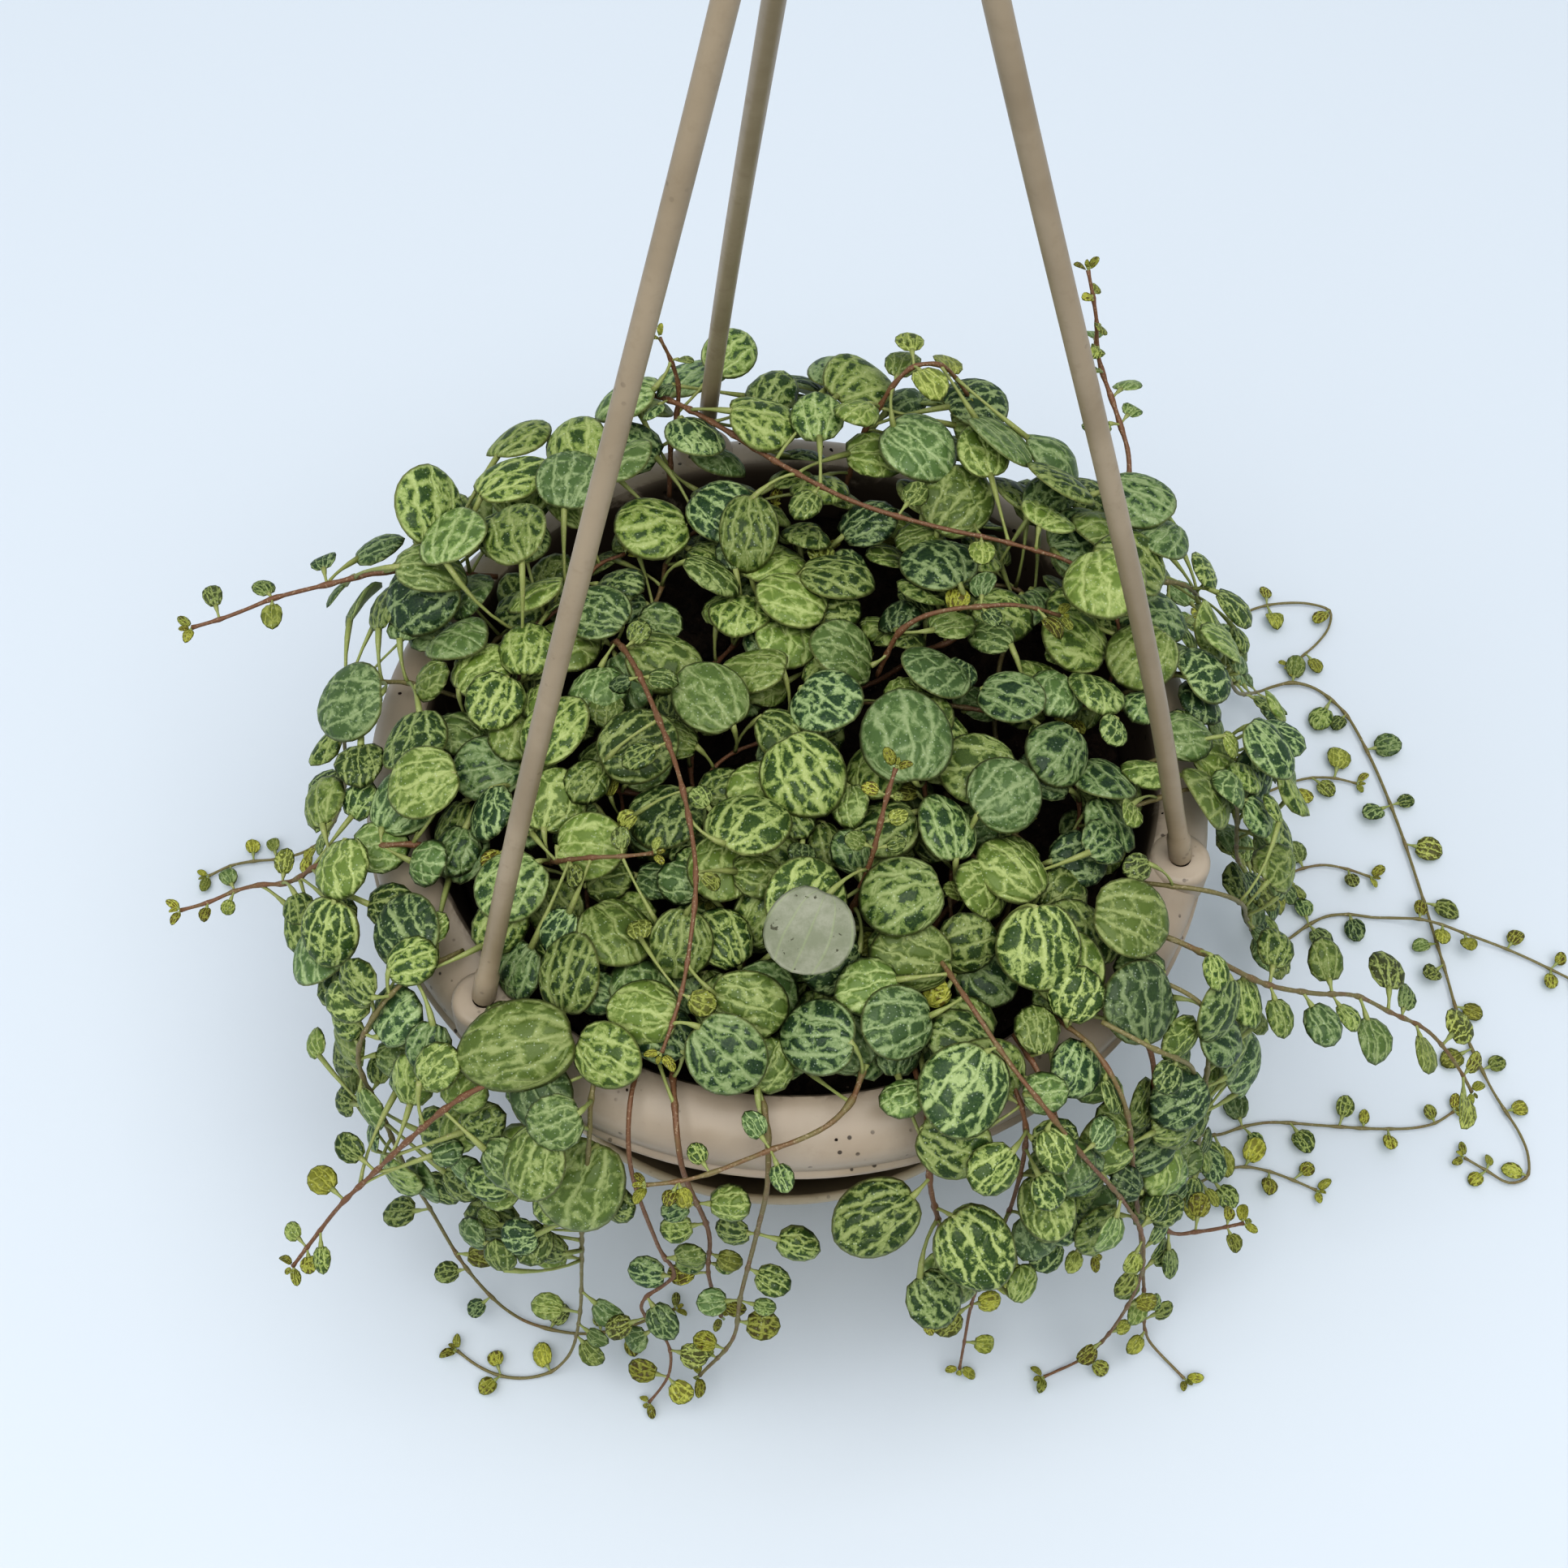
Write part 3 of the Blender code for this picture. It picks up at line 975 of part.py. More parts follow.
def build_hook(home, tools, finish):
    """The hub that the arms' tops plug into, with the hook above it."""
    low = ARM_TOP - HUB_SOCKET_DEPTH
    high = low + HUB_HEIGHT
    profile = [(0.0, high), (HUB_RADIUS * 0.35, high), (HUB_RADIUS * 0.75, high - 0.0018),
               (HUB_RADIUS, low + 0.0030), (HUB_RADIUS, low + 0.0006), (HUB_RADIUS - 0.0006, low), (0.0, low)]
    hub = turned("hanger_hook", profile, home, finish, steps=28)
    start = high - 0.002
    points = [Vector((0, 0, start)), Vector((0, 0, high + HOOK_NECK * 0.6))]
    centre = Vector((0, 0, high + HOOK_NECK + HOOK_RADIUS))
    steps = 14
    for k in range(1, steps + 1):
        angle = math.radians(-90.0 + HOOK_SWEEP * k / steps)
        points.append(centre + Vector((math.cos(angle), 0.0, math.sin(angle))) * HOOK_RADIUS)
    hook = tube_mesh("hook_bar", points, [HOOK_DIAMETER / 2] * len(points), 2, HOOK_DIAMETER / 2)
    boolean(hub, "UNION", helper("hook_bar", hook, tools), "hook")
    for side, azimuth in ARM_AZIMUTHS.items():
        line = arm_points(azimuth)
        lean = (line[-1] - line[-2]).normalized()
        tip = line[-1] + lean * CLEARANCE
        radius = ARM_DIAMETER / 2 + CLEARANCE
        socket = tube_mesh("socket_" + side, [tip - lean * 0.012, tip], [radius, radius], 2, radius)
        boolean(hub, "DIFFERENCE", helper("arm_socket_" + side, socket, tools), "socket_" + side)
    return hub


def leaf_shape(shape, leaf, root):
    """Adds a leaf to a mesh: a blade as a low cone on a slim petiole, or one teardrop where it is small."""
    dome = LEAF_DOME * leaf.length
    small = leaf.length < SMALL_LEAF
    size = Matrix.Diagonal((leaf.length, leaf.width, 1.0, 1.0))
    frame = leaf.matrix() @ Matrix.Translation((0, 0, dome / 2)) @ size
    cone = bmesh.ops.create_cone(shape, cap_ends=True, cap_tris=small, segments=LEAF_SIDES, radius1=0.5,
                                 radius2=0.0, depth=dome)
    if small:
        low = [v for v in cone["verts"] if v.co.z < 0]
        under = min(low, key=lambda v: v.co.xy.length)
        under.co.z -= dome * 0.4
        low.remove(under)
        inward = frame.inverted() @ root
        min(low, key=lambda v: (v.co.xy - inward.xy).length).co = inward
        bmesh.ops.transform(shape, matrix=frame, verts=cone["verts"])
        return
    bmesh.ops.transform(shape, matrix=frame, verts=cone["verts"])
    run = leaf.hold() - root
    turn = run.to_track_quat("Z", "Y").to_matrix().to_4x4()
    bmesh.ops.create_cone(shape, cap_ends=True, segments=3, radius1=PETIOLE_RADIUS * 1.4, radius2=0.0,
                          depth=run.length, matrix=Matrix.Translation((root + leaf.hold()) / 2) @ turn)


def nearest_on(points, place):
    """The point of a row of straight pieces that lies nearest to a place."""
    best = points[0]
    for a, b in zip(points, points[1:]):
        _, share = intersect_point_line(place, a, b)
        found = a.lerp(b, min(1.0, max(0.0, share)))
        if (found - place).length < (best - place).length:
            best = found
    return best


def thinned(points, slack):
    """The row of points without those that lie within a slack of the straight line past them."""
    ahead = points[-1] - points[0]
    worst, where = 0.0, 0
    for k in range(1, len(points) - 1):
        off = (points[k] - points[0]).cross(ahead).length / ahead.length
        if off > worst:
            worst, where = off, k
    if worst < slack:
        return [points[0], points[-1]]
    return thinned(points[: where + 1], slack)[:-1] + thinned(points[where:], slack)


def build_stem(garden, index, home, tools, finish):
    """One stem with the leaves that grow from it, joined into a single body."""
    stem = garden.stems[index]
    points = thinned(stem.points, STEM_SLACK)
    last = len(points) - 1
    radii = [STEM_RADIUS + (TIP_RADIUS - STEM_RADIUS) * k / last for k in range(last + 1)]
    made = object_of(stem.name, tube_mesh(stem.name, points, radii, profile="TRIANGLE"), home, finish)
    shape = bmesh.new()
    for leaf in garden.leaves:
        if leaf.stem == index and leaf.solid():
            leaf_shape(shape, leaf, nearest_on(points, leaf.root))
    if shape.verts:
        mesh = bpy.data.meshes.new(stem.name + "_leaves")
        shape.to_mesh(mesh)
        boolean(made, "UNION", helper(stem.name + "_leaves", mesh, tools), "leaves", True)
    shape.free()
    return made


def main():
    clear_scene()
    home = collection(COLLECTION)
    tools = collection("tools", hidden=True)
    cream = material("cream_plastic", (0.50, 0.42, 0.33), 0.38)
    saucer_cream = material("saucer_plastic", (0.42, 0.35, 0.26), 0.40)
    arm_plastic = material("hanger_plastic", (0.30, 0.25, 0.19), 0.42)
    earth = material("potting_mix", (0.020, 0.014, 0.010), 0.95)
    build_pot(home, tools, cream)
    build_saucer(home, saucer_cream)
    build_soil(home, earth)
    for side, azimuth in ARM_AZIMUTHS.items():
        build_arm("hanger_arm_" + side, azimuth, home, arm_plastic)
    build_hook(home, tools, arm_plastic)
    garden = lay_out_plant()
    for index, stem in enumerate(garden.stems):
        shade = 0.75 + 0.5 * ((index * 7) % 10) / 10
        green = material(stem.name, (0.07 * shade, 0.17 * shade, 0.05 * shade), 0.45)
        build_stem(garden, index, home, tools, green)


main()
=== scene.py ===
"""String of turtles in a moulded hanging pot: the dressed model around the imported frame.

Metres, +Z up. The saucer's underside stands on z = 0, +Y points to the back, and the plant's front
looks along +Y.
"""

import logging
import math
import random
from collections.abc import Iterable
from dataclasses import dataclass, field
from enum import Enum

import bmesh
import bpy
from mathutils import Matrix, Vector, noise
from mathutils.bvhtree import BVHTree


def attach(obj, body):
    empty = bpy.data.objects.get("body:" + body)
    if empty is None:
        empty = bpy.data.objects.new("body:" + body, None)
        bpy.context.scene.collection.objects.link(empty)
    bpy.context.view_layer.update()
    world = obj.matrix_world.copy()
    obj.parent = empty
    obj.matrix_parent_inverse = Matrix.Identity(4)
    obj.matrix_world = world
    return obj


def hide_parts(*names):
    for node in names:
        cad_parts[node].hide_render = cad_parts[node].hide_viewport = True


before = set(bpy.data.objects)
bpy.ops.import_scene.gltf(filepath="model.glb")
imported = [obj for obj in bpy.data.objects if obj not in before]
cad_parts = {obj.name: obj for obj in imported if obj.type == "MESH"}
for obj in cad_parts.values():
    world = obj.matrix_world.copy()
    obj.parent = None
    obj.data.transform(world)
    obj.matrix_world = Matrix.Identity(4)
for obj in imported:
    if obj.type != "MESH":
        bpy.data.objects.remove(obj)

log = logging.getLogger("string_of_turtles")

Colour = tuple[float, float, float]
Spot = tuple[float, float, float]
BODY = "root"

# ---- sizes that the pot, the hanger and the plant share
RIM_RADIUS = 0.0625
RIM_TOP = 0.085
RIM_WIDTH = 0.0088
SAUCER_LIP_HEIGHT = 0.030
SAUCER_LIP_RADIUS = 0.0485
SAUCER_FLOOR = 0.0016
LIP_ROLL = 0.0009
POT_WALL = 0.0016
POT_BASE_RADIUS = 0.030
SKIRT_DEPTH = 0.0088
FLANGE = 0.0005
CLEARANCE = 0.0003
SOIL_EDGE_DROP = 0.0090
SOIL_CROWN = 0.0030
ARM_CIRCLE = 0.0586
ARM_DIAMETER = 0.0028
ARM_LEAN = (0.2247, 0.0577, -0.0117)
ARM_LEAN_SPAN = 0.0625
ARM_TOP = 0.258
ARM_STEPS = 9
COLLAR_DIAMETER = 0.0034
LUG_RADIUS = 0.0054
LUG_RISE = 0.0004
LUG_DEPTH = 0.0060
LUG_FOOT = 0.07

# ---- sizes of the plant
STEM_RADIUS = 0.00050
TIP_RADIUS = 0.00032
STEM_SPACING = 0.0042
LYING_HEIGHT = STEM_RADIUS + 0.0004
PETIOLE_RADIUS = 0.00036
LEAF_DOME = 0.14
LEAF_CLEARANCE = 0.00028
CROWN_TOP = 0.1010
CROWN_FALL = 0.0085
CROWN_RADIUS = 0.0665
RUNNER_COUNT = 18
RUNNER_STEP = 0.0050
RUNNER_STEPS = 11
RUNNER_REACH = 0.046
NEAR_STEM = 0.012
SHOW_REACH = 0.024
CROWN_REACH = 0.018
CURTAIN_REACH = 0.017
CURTAIN_RISE = 0.006
FALLEN_LEAF = (0.0038, -0.0385, 0.0965)
FALLEN_SIZE = (0.0128, 0.0122)
FALLEN_REACH = 0.026
LARGE_LEAF = 0.0098
FULL_LEAF = 0.012
LYING_BELOW = 0.004
SEED = 21

# Who keeps a room in the garden, where no stem does.
HANGER = -1
FOLIAGE = -2


class Arm(Enum):
    """The hanger's three arms, by the compass angle where each stands on the rim."""

    FRONT_LEFT = 226.2
    RIGHT = 346.2
    BACK = 106.2


# ------------------------------------------------------------------ layout of the plant
@dataclass(frozen=True)
class Route:
    """One stem: the points that it passes and the leaves that sit along its free length."""

    name: str
    points: tuple[Spot, ...]
    leaves_from: float
    leaf_gap: float
    leaf_sizes: tuple[float, float]


@dataclass
class Stem:
    """A stem as a smooth row of points from its root to its tip."""

    name: str
    points: list[Vector]
    route: Route | None = None

    def length(self) -> float:
        """How long the stem is."""
        return sum((b - a).length for a, b in zip(self.points, self.points[1:]))


@dataclass
class Leaf:
    """One leaf: where it leaves its stem, and its blade's middle, directions and size."""

    stem: int
    share: float
    root: Vector
    centre: Vector
    along: Vector
    normal: Vector
    length: float
    width: float
    age: float
    turned_over: bool = False

    def matrix(self) -> Matrix:
        """The blade's frame: X from base to tip, Z out of its upper face.

        Returns:
            The frame.
        """
        across = self.normal.cross(self.along).normalized()
        turn = Matrix((self.along, across, self.normal)).transposed().to_4x4()
        return Matrix.Translation(self.centre) @ turn

    def base(self) -> Vector:
        """The point on the blade's edge where it leaves its petiole."""
        return self.centre - self.along * self.length * 0.5

    def hold(self) -> Vector:
        """The point inside the blade where the petiole ends."""
        return self.centre - self.along * self.length * 0.15 + self.normal * self.length * LEAF_DOME * 0.33


ROUTES = (
    Route("stem_left_upper", ((-0.046, 0.027, 0.088), (-0.054, 0.025, 0.091), (-0.062, 0.024, 0.092),
          (-0.070, 0.022, 0.091), (-0.079, 0.020, 0.089), (-0.085, 0.018, 0.087),
          (-0.091, 0.016, 0.086)), 0.35, 0.0085, (0.0070, 0.0030)),
    Route("stem_left_lower", ((-0.049, -0.020, 0.087), (-0.056, -0.021, 0.089),
          (-0.0665, -0.0215, 0.083), (-0.072, -0.021, 0.076), (-0.079, -0.020, 0.072),
          (-0.085, -0.022, 0.070),
          (-0.089, -0.023, 0.069)), 0.5, 0.0060, (0.0042, 0.0022)),
    Route("stem_left_floor", ((-0.049, 0.006, 0.086), (-0.058, 0.007, 0.088), (-0.0675, 0.009, 0.080),
          (-0.072, 0.013, 0.050), (-0.079, 0.021, 0.020), (-0.086, 0.024, 0.004),
          (-0.093, 0.023, 0.001), (-0.099, 0.022, 0.001), (-0.104, 0.019, 0.001)),
          0.25, 0.0090, (0.0070, 0.0028)),
    Route("stem_front_left_red", ((-0.029, -0.047, 0.088), (-0.036, -0.055, 0.089), (-0.043, -0.058, 0.085),
          (-0.050, -0.061, 0.077), (-0.055, -0.063, 0.070), (-0.060, -0.065, 0.063),
          (-0.064, -0.067, 0.056), (-0.068, -0.070, 0.050)), 0.5, 0.0055, (0.0062, 0.0030)),
    Route("stem_left_long", ((-0.044, -0.036, 0.087), (-0.051, -0.042, 0.089), (-0.0565, -0.046, 0.082),
          (-0.059, -0.047, 0.071), (-0.057, -0.049, 0.058), (-0.055, -0.051, 0.044),
          (-0.052, -0.053, 0.030), (-0.047, -0.057, 0.014), (-0.040, -0.060, 0.002),
          (-0.031, -0.062, 0.001), (-0.023, -0.061, 0.001), (-0.014, -0.057, 0.001)),
          0.45, 0.0130, (0.0060, 0.0026)),
    Route("stem_front_left_drop", ((-0.021, -0.046, 0.088), (-0.024, -0.055, 0.089), (-0.0245, -0.062, 0.081),
          (-0.026, -0.064, 0.062), (-0.027, -0.064, 0.042), (-0.028, -0.065, 0.022),
          (-0.030, -0.067, 0.007), (-0.034, -0.069, 0.001), (-0.039, -0.070, 0.001),
          (-0.044, -0.069, 0.001), (-0.049, -0.066, 0.001)), 0.25, 0.0100, (0.0078, 0.0030)),
    Route("stem_front_mid_left", ((-0.014, -0.050, 0.087), (-0.013, -0.058, 0.0885),
          (-0.0115, -0.0650, 0.083), (-0.008, -0.065, 0.060), (-0.008, -0.065, 0.042),
          (-0.006, -0.066, 0.026)), 0.4, 0.0100, (0.0055, 0.0030)),
    Route("stem_front_mid", ((-0.004, -0.050, 0.087), (-0.001, -0.058, 0.0885), (0.000, -0.0655, 0.083),
          (-0.001, -0.0665, 0.066), (-0.003, -0.068, 0.042), (-0.004, -0.069, 0.024),
          (-0.009, -0.070, 0.008)), 0.4, 0.0110, (0.0066, 0.0034)),
    Route("stem_front_fork", ((-0.018, -0.049, 0.086), (-0.019, -0.058, 0.088), (-0.0185, -0.0645, 0.080),
          (-0.015, -0.067, 0.058), (-0.013, -0.067, 0.046), (-0.018, -0.068, 0.035),
          (-0.014, -0.069, 0.020), (-0.014, -0.071, 0.010), (-0.017, -0.073, 0.002)),
          0.45, 0.0100, (0.0060, 0.0050)),
    Route("stem_front_across", ((0.013, -0.049, 0.091), (0.010, -0.058, 0.0905), (0.005, -0.062, 0.090),
          (0.000, -0.064, 0.089), (-0.005, -0.066, 0.088), (-0.010, -0.068, 0.0875),
          (-0.016, -0.069, 0.087)), 0.55, 0.0060, (0.0050, 0.0026)),
    Route("stem_front_root", ((0.019, -0.050, 0.087), (0.021, -0.058, 0.088), (0.022, -0.0640, 0.080),
          (0.025, -0.0645, 0.062), (0.026, -0.065, 0.044), (0.025, -0.066, 0.030)),
          0.5, 0.0160, (0.0050, 0.0022)),
    Route("stem_front_right_drop", ((0.029, -0.044, 0.087), (0.032, -0.052, 0.089), (0.0345, -0.0575, 0.085),
          (0.035, -0.0595, 0.066), (0.034, -0.060, 0.044), (0.033, -0.061, 0.024),
          (0.033, -0.063, 0.012), (0.033, -0.065, 0.003)), 0.3, 0.0100, (0.0085, 0.0036)),
    Route("stem_right_diagonal", ((0.021, -0.037, 0.096), (0.026, -0.046, 0.098), (0.031, -0.052, 0.095),
          (0.037, -0.0575, 0.091), (0.043, -0.060, 0.082), (0.050, -0.060, 0.068),
          (0.055, -0.060, 0.054), (0.057, -0.061, 0.038), (0.056, -0.062, 0.020),
          (0.054, -0.062, 0.005), (0.051, -0.063, 0.001), (0.047, -0.065, 0.001)),
          0.3, 0.0140, (0.0060, 0.0028)),
    Route("stem_right_front_drop", ((0.037, -0.041, 0.088), (0.043, -0.047, 0.090), (0.048, -0.053, 0.085),
          (0.052, -0.055, 0.066), (0.056, -0.056, 0.046), (0.060, -0.057, 0.024),
          (0.063, -0.058, 0.006), (0.066, -0.060, 0.001), (0.070, -0.064, 0.001)),
          0.25, 0.0090, (0.0085, 0.0030)),
    Route("stem_right_front_short", ((0.0325, -0.045, 0.0885), (0.036, -0.0515, 0.0895),
          (0.040, -0.057, 0.080), (0.042, -0.058, 0.064), (0.045, -0.059, 0.053), (0.049, -0.060, 0.046)),
          0.45, 0.0080, (0.0075, 0.0035)),
    Route("stem_right_front_out", ((0.041, -0.035, 0.087), (0.048, -0.041, 0.089), (0.053, -0.045, 0.080),
          (0.057, -0.049, 0.052), (0.062, -0.051, 0.034), (0.069, -0.048, 0.026),
          (0.077, -0.044, 0.020)), 0.3, 0.0085, (0.0080, 0.0026)),
    Route("stem_right_reach", ((0.047, -0.027, 0.089), (0.055, -0.030, 0.090), (0.062, -0.031, 0.086),
          (0.070, -0.030, 0.078), (0.079, -0.027, 0.070), (0.087, -0.023, 0.062),
          (0.094, -0.022, 0.055), (0.102, -0.021, 0.047), (0.108, -0.023, 0.040),
          (0.112, -0.025, 0.034)), 0.3, 0.0085, (0.0070, 0.0060)),
    Route("stem_floor_front", ((0.044, -0.044, 0.092), (0.052, -0.047, 0.090), (0.0585, -0.045, 0.080),
          (0.064, -0.039, 0.050), (0.071, -0.028, 0.018), (0.078, -0.021, 0.002),
          (0.086, -0.018, 0.001), (0.097, -0.018, 0.001), (0.106, -0.018, 0.001),
          (0.114, -0.017, 0.001), (0.119, -0.014, 0.001)), 0.5, 0.0085, (0.0062, 0.0030)),
    Route("stem_floor_front_low", ((0.049, -0.034, 0.0875), (0.056, -0.037, 0.0885), (0.061, -0.038, 0.080),
          (0.065, -0.041, 0.050), (0.071, -0.034, 0.012), (0.079, -0.027, 0.001),
          (0.086, -0.027, 0.001), (0.094, -0.030, 0.001)), 0.62, 0.0075, (0.0060, 0.0034)),
    Route("stem_loop_back", ((0.046, 0.026, 0.088), (0.054, 0.031, 0.090), (0.062, 0.037, 0.080),
          (0.071, 0.058, 0.040), (0.080, 0.080, 0.006), (0.088, 0.090, 0.001),
          (0.098, 0.093, 0.001), (0.105, 0.091, 0.001), (0.102, 0.084, 0.001),
          (0.096, 0.078, 0.001)), 0.3, 0.0120, (0.0065, 0.0034)),
    Route("stem_loop_far", ((0.049, 0.012, 0.088), (0.057, 0.015, 0.0895), (0.066, 0.022, 0.079),
          (0.077, 0.045, 0.040), (0.088, 0.068, 0.006), (0.097, 0.074, 0.001),
          (0.105, 0.069, 0.001), (0.110, 0.058, 0.001), (0.114, 0.044, 0.001),
          (0.117, 0.030, 0.001), (0.120, 0.014, 0.001), (0.122, 0.003, 0.001),
          (0.126, -0.009, 0.001), (0.131, -0.020, 0.001), (0.129, -0.027, 0.001),
          (0.120, -0.0225, 0.001)), 0.35, 0.0105, (0.0060, 0.0032)),
    Route("stem_floor_back", ((0.051, 0.000, 0.087), (0.058, 0.002, 0.089), (0.066, 0.008, 0.079),
          (0.074, 0.024, 0.044), (0.084, 0.042, 0.010), (0.092, 0.050, 0.001),
          (0.100, 0.053, 0.001), (0.107, 0.052, 0.001)), 0.3, 0.0090, (0.0070, 0.0046)),
    Route("stem_floor_middle", ((0.049, -0.009, 0.090), (0.058, -0.0055, 0.0905), (0.0662, -0.001, 0.081),
          (0.073, 0.006, 0.050), (0.084, 0.022, 0.016), (0.092, 0.031, 0.001),
          (0.100, 0.034, 0.001), (0.108, 0.032, 0.001)), 0.3, 0.0080, (0.0070, 0.0036)),
    Route("stem_floor_side", ((0.051, -0.020, 0.088), (0.060, -0.021, 0.0885), (0.067, -0.017, 0.078),
          (0.074, -0.005, 0.050), (0.084, 0.009, 0.016), (0.092, 0.018, 0.001),
          (0.100, 0.0235, 0.001), (0.109, 0.0235, 0.001), (0.1145, 0.023, 0.0025),
          (0.1185, 0.022, 0.0032), (0.1225, 0.021, 0.0025), (0.133, 0.018, 0.001),
          (0.143, 0.013, 0.001)), 0.3, 0.0095, (0.0070, 0.0030)),
    Route("stem_back_right_sprig", ((0.046, 0.036, 0.090), (0.048, 0.040, 0.096), (0.049, 0.046, 0.100),
          (0.046, 0.053, 0.105), (0.043, 0.058, 0.110), (0.042, 0.060, 0.116),
          (0.040, 0.064, 0.122)), 0.45, 0.0048, (0.0048, 0.0024)),
    Route("stem_back_left_sprig", ((-0.021, 0.044, 0.088), (-0.021, 0.049, 0.095), (-0.020, 0.053, 0.101),
          (-0.021, 0.055, 0.106), (-0.023, 0.056, 0.111)), 0.5, 0.0036, (0.0034, 0.0020)),
    Route("stem_crown_top", ((-0.025, 0.054, 0.1005), (-0.020, 0.051, 0.102), (-0.013, 0.046, 0.103),
          (-0.004, 0.039, 0.104), (0.007, 0.032, 0.105), (0.019, 0.029, 0.104),
          (0.031, 0.028, 0.102), (0.042, 0.026, 0.099), (0.048, 0.021, 0.092),
          (0.047, 0.014, 0.084)), 0.0, 0.0150, (0.0050, 0.0050)),
    Route("stem_back_arch", ((0.006, 0.046, 0.088), (0.008, 0.049, 0.098), (0.011, 0.051, 0.105),
          (0.014, 0.053, 0.110), (0.018, 0.054, 0.111), (0.021, 0.055, 0.108),
          (0.024, 0.055, 0.103)), 0.25, 0.0060, (0.0090, 0.0050)),
    Route("stem_crown_middle", ((-0.027, 0.014, 0.086), (-0.0265, 0.011, 0.096), (-0.0235, 0.004, 0.102),
          (-0.020, -0.004, 0.104), (-0.015, -0.017, 0.105), (-0.012, -0.030, 0.104),
          (-0.012, -0.040, 0.102), (-0.013, -0.047, 0.098), (-0.015, -0.053, 0.094)),
          0.3, 0.0120, (0.0050, 0.0040)),
    Route("stem_crown_sprig", ((0.009, -0.030, 0.090), (0.011, -0.028, 0.100), (0.012, -0.026, 0.106),
          (0.013, -0.022, 0.111), (0.014, -0.019, 0.114)), 0.55, 0.0040, (0.0032, 0.0020)),
    Route("stem_crown_right", ((0.012, 0.010, 0.092), (0.015, 0.013, 0.100), (0.020, 0.014, 0.1035),
          (0.026, 0.015, 0.1040), (0.032, 0.016, 0.1035), (0.038, 0.017, 0.100)),
          0.6, 0.0070, (0.0046, 0.0046)),
    Route("stem_crown_left", ((-0.034, -0.022, 0.088), (-0.031, -0.026, 0.096), (-0.027, -0.028, 0.101),
          (-0.022, -0.028, 0.102), (-0.018, -0.027, 0.1015)), 0.3, 0.0065, (0.0040, 0.0030)),
)

# Leaves that stand out: the blade's middle, its length and width, the compass angle that its tip
# points to, how far its upper face leans, and the compass angle that it leans to.
SHOW_LEAVES = (
    ((-0.0350, -0.0520, 0.0905), 0.0170, 0.0125, 195, 22, 250),
    ((-0.0555, 0.0170, 0.0965), 0.0130, 0.0120, 200, 25, 230),
    ((-0.0640, 0.0010, 0.0915), 0.0128, 0.0122, 185, 35, 205),
    ((0.0160, -0.0080, 0.1040), 0.0150, 0.0132, 100, 8, 270),
    ((0.0020, -0.0130, 0.1010), 0.0130, 0.0122, 300, 12, 240),
    ((-0.0055, -0.0215, 0.1020), 0.0130, 0.0120, 60, 15, 100),
    ((0.0030, -0.0330, 0.1020), 0.0122, 0.0112, 60, 20, 300),
    ((-0.0510, -0.0150, 0.0965), 0.0112, 0.0108, 200, 22, 220),
    ((-0.0215, -0.0090, 0.1000), 0.0120, 0.0112, 30, 14, 250),
    ((0.0350, -0.0360, 0.0980), 0.0122, 0.0120, 280, 25, 285),
    ((0.0255, -0.0555, 0.0935), 0.0132, 0.0124, 250, 32, 280),
    ((0.0290, -0.0700, 0.0720), 0.0128, 0.0112, 300, 38, 275),
    ((0.0150, -0.0690, 0.0800), 0.0128, 0.0104, 215, 25, 265),
    ((-0.0245, -0.0640, 0.0740), 0.0140, 0.0128, 250, 34, 262),
    ((0.0480, -0.0300, 0.0955), 0.0122, 0.0112, 350, 24, 320),
    ((0.0160, -0.0320, 0.1030), 0.0118, 0.0112, 200, 14, 270),
    ((0.0300, -0.0140, 0.1005), 0.0108, 0.0112, 40, 18, 290),
    ((0.0230, 0.0380, 0.0985), 0.0125, 0.0112, 60, 18, 290),
    ((-0.0080, 0.0290, 0.1000), 0.0122, 0.0090, 270, 20, 270),
    ((0.0420, 0.0330, 0.0960), 0.0125, 0.0120, 20, 22, 330),
)

# The rim's bare stretches: compass angles from and to, and how far out the crown's leaves go there.
BARE_STRETCHES = ((246, 288, 0.0530), (164, 186, 0.0560), (338, 352, 0.0530), (100, 112, 0.0550),
                  (222, 230, 0.0540))
# Where leaves hang over the rim: compass angles from and to, lowest height, and how many.
CURTAINS = ((196, 246, 0.050, 30), (288, 336, 0.050, 30), (352, 400, 0.064, 14), (40, 98, 0.076, 10),
            (114, 160, 0.076, 10))


def compass(x: float, y: float) -> float:
    """The angle of a point about the pot's axis, from +X, in degrees from 0 to 360."""
    return math.degrees(math.atan2(y, x)) % 360.0


def heading(angle: float) -> Vector:
    """The level direction at a compass angle in degrees."""
    return Vector((math.cos(math.radians(angle)), math.sin(math.radians(angle)), 0.0))


def pot_radius(height: float) -> float:
    """The outside radius of the pot's tapering body at a height."""
    share = (height - SAUCER_FLOOR) / (RIM_TOP - SAUCER_FLOOR)
    return POT_BASE_RADIUS + (RIM_RADIUS - RIM_WIDTH + POT_WALL - POT_BASE_RADIUS) * share


def soil_height(radius: float) -> float:
    """The height of the potting mix's domed top at a distance from the axis."""
    share = min(1.0, radius / (RIM_RADIUS - RIM_WIDTH))
    return RIM_TOP - SOIL_EDGE_DROP + SOIL_CROWN * (1.0 - share * share)


def crown_height(radius: float) -> float:
    """The height of the crown's leafy top at a distance from the axis."""
    share = radius / RIM_RADIUS
    return CROWN_TOP - CROWN_FALL * share * share


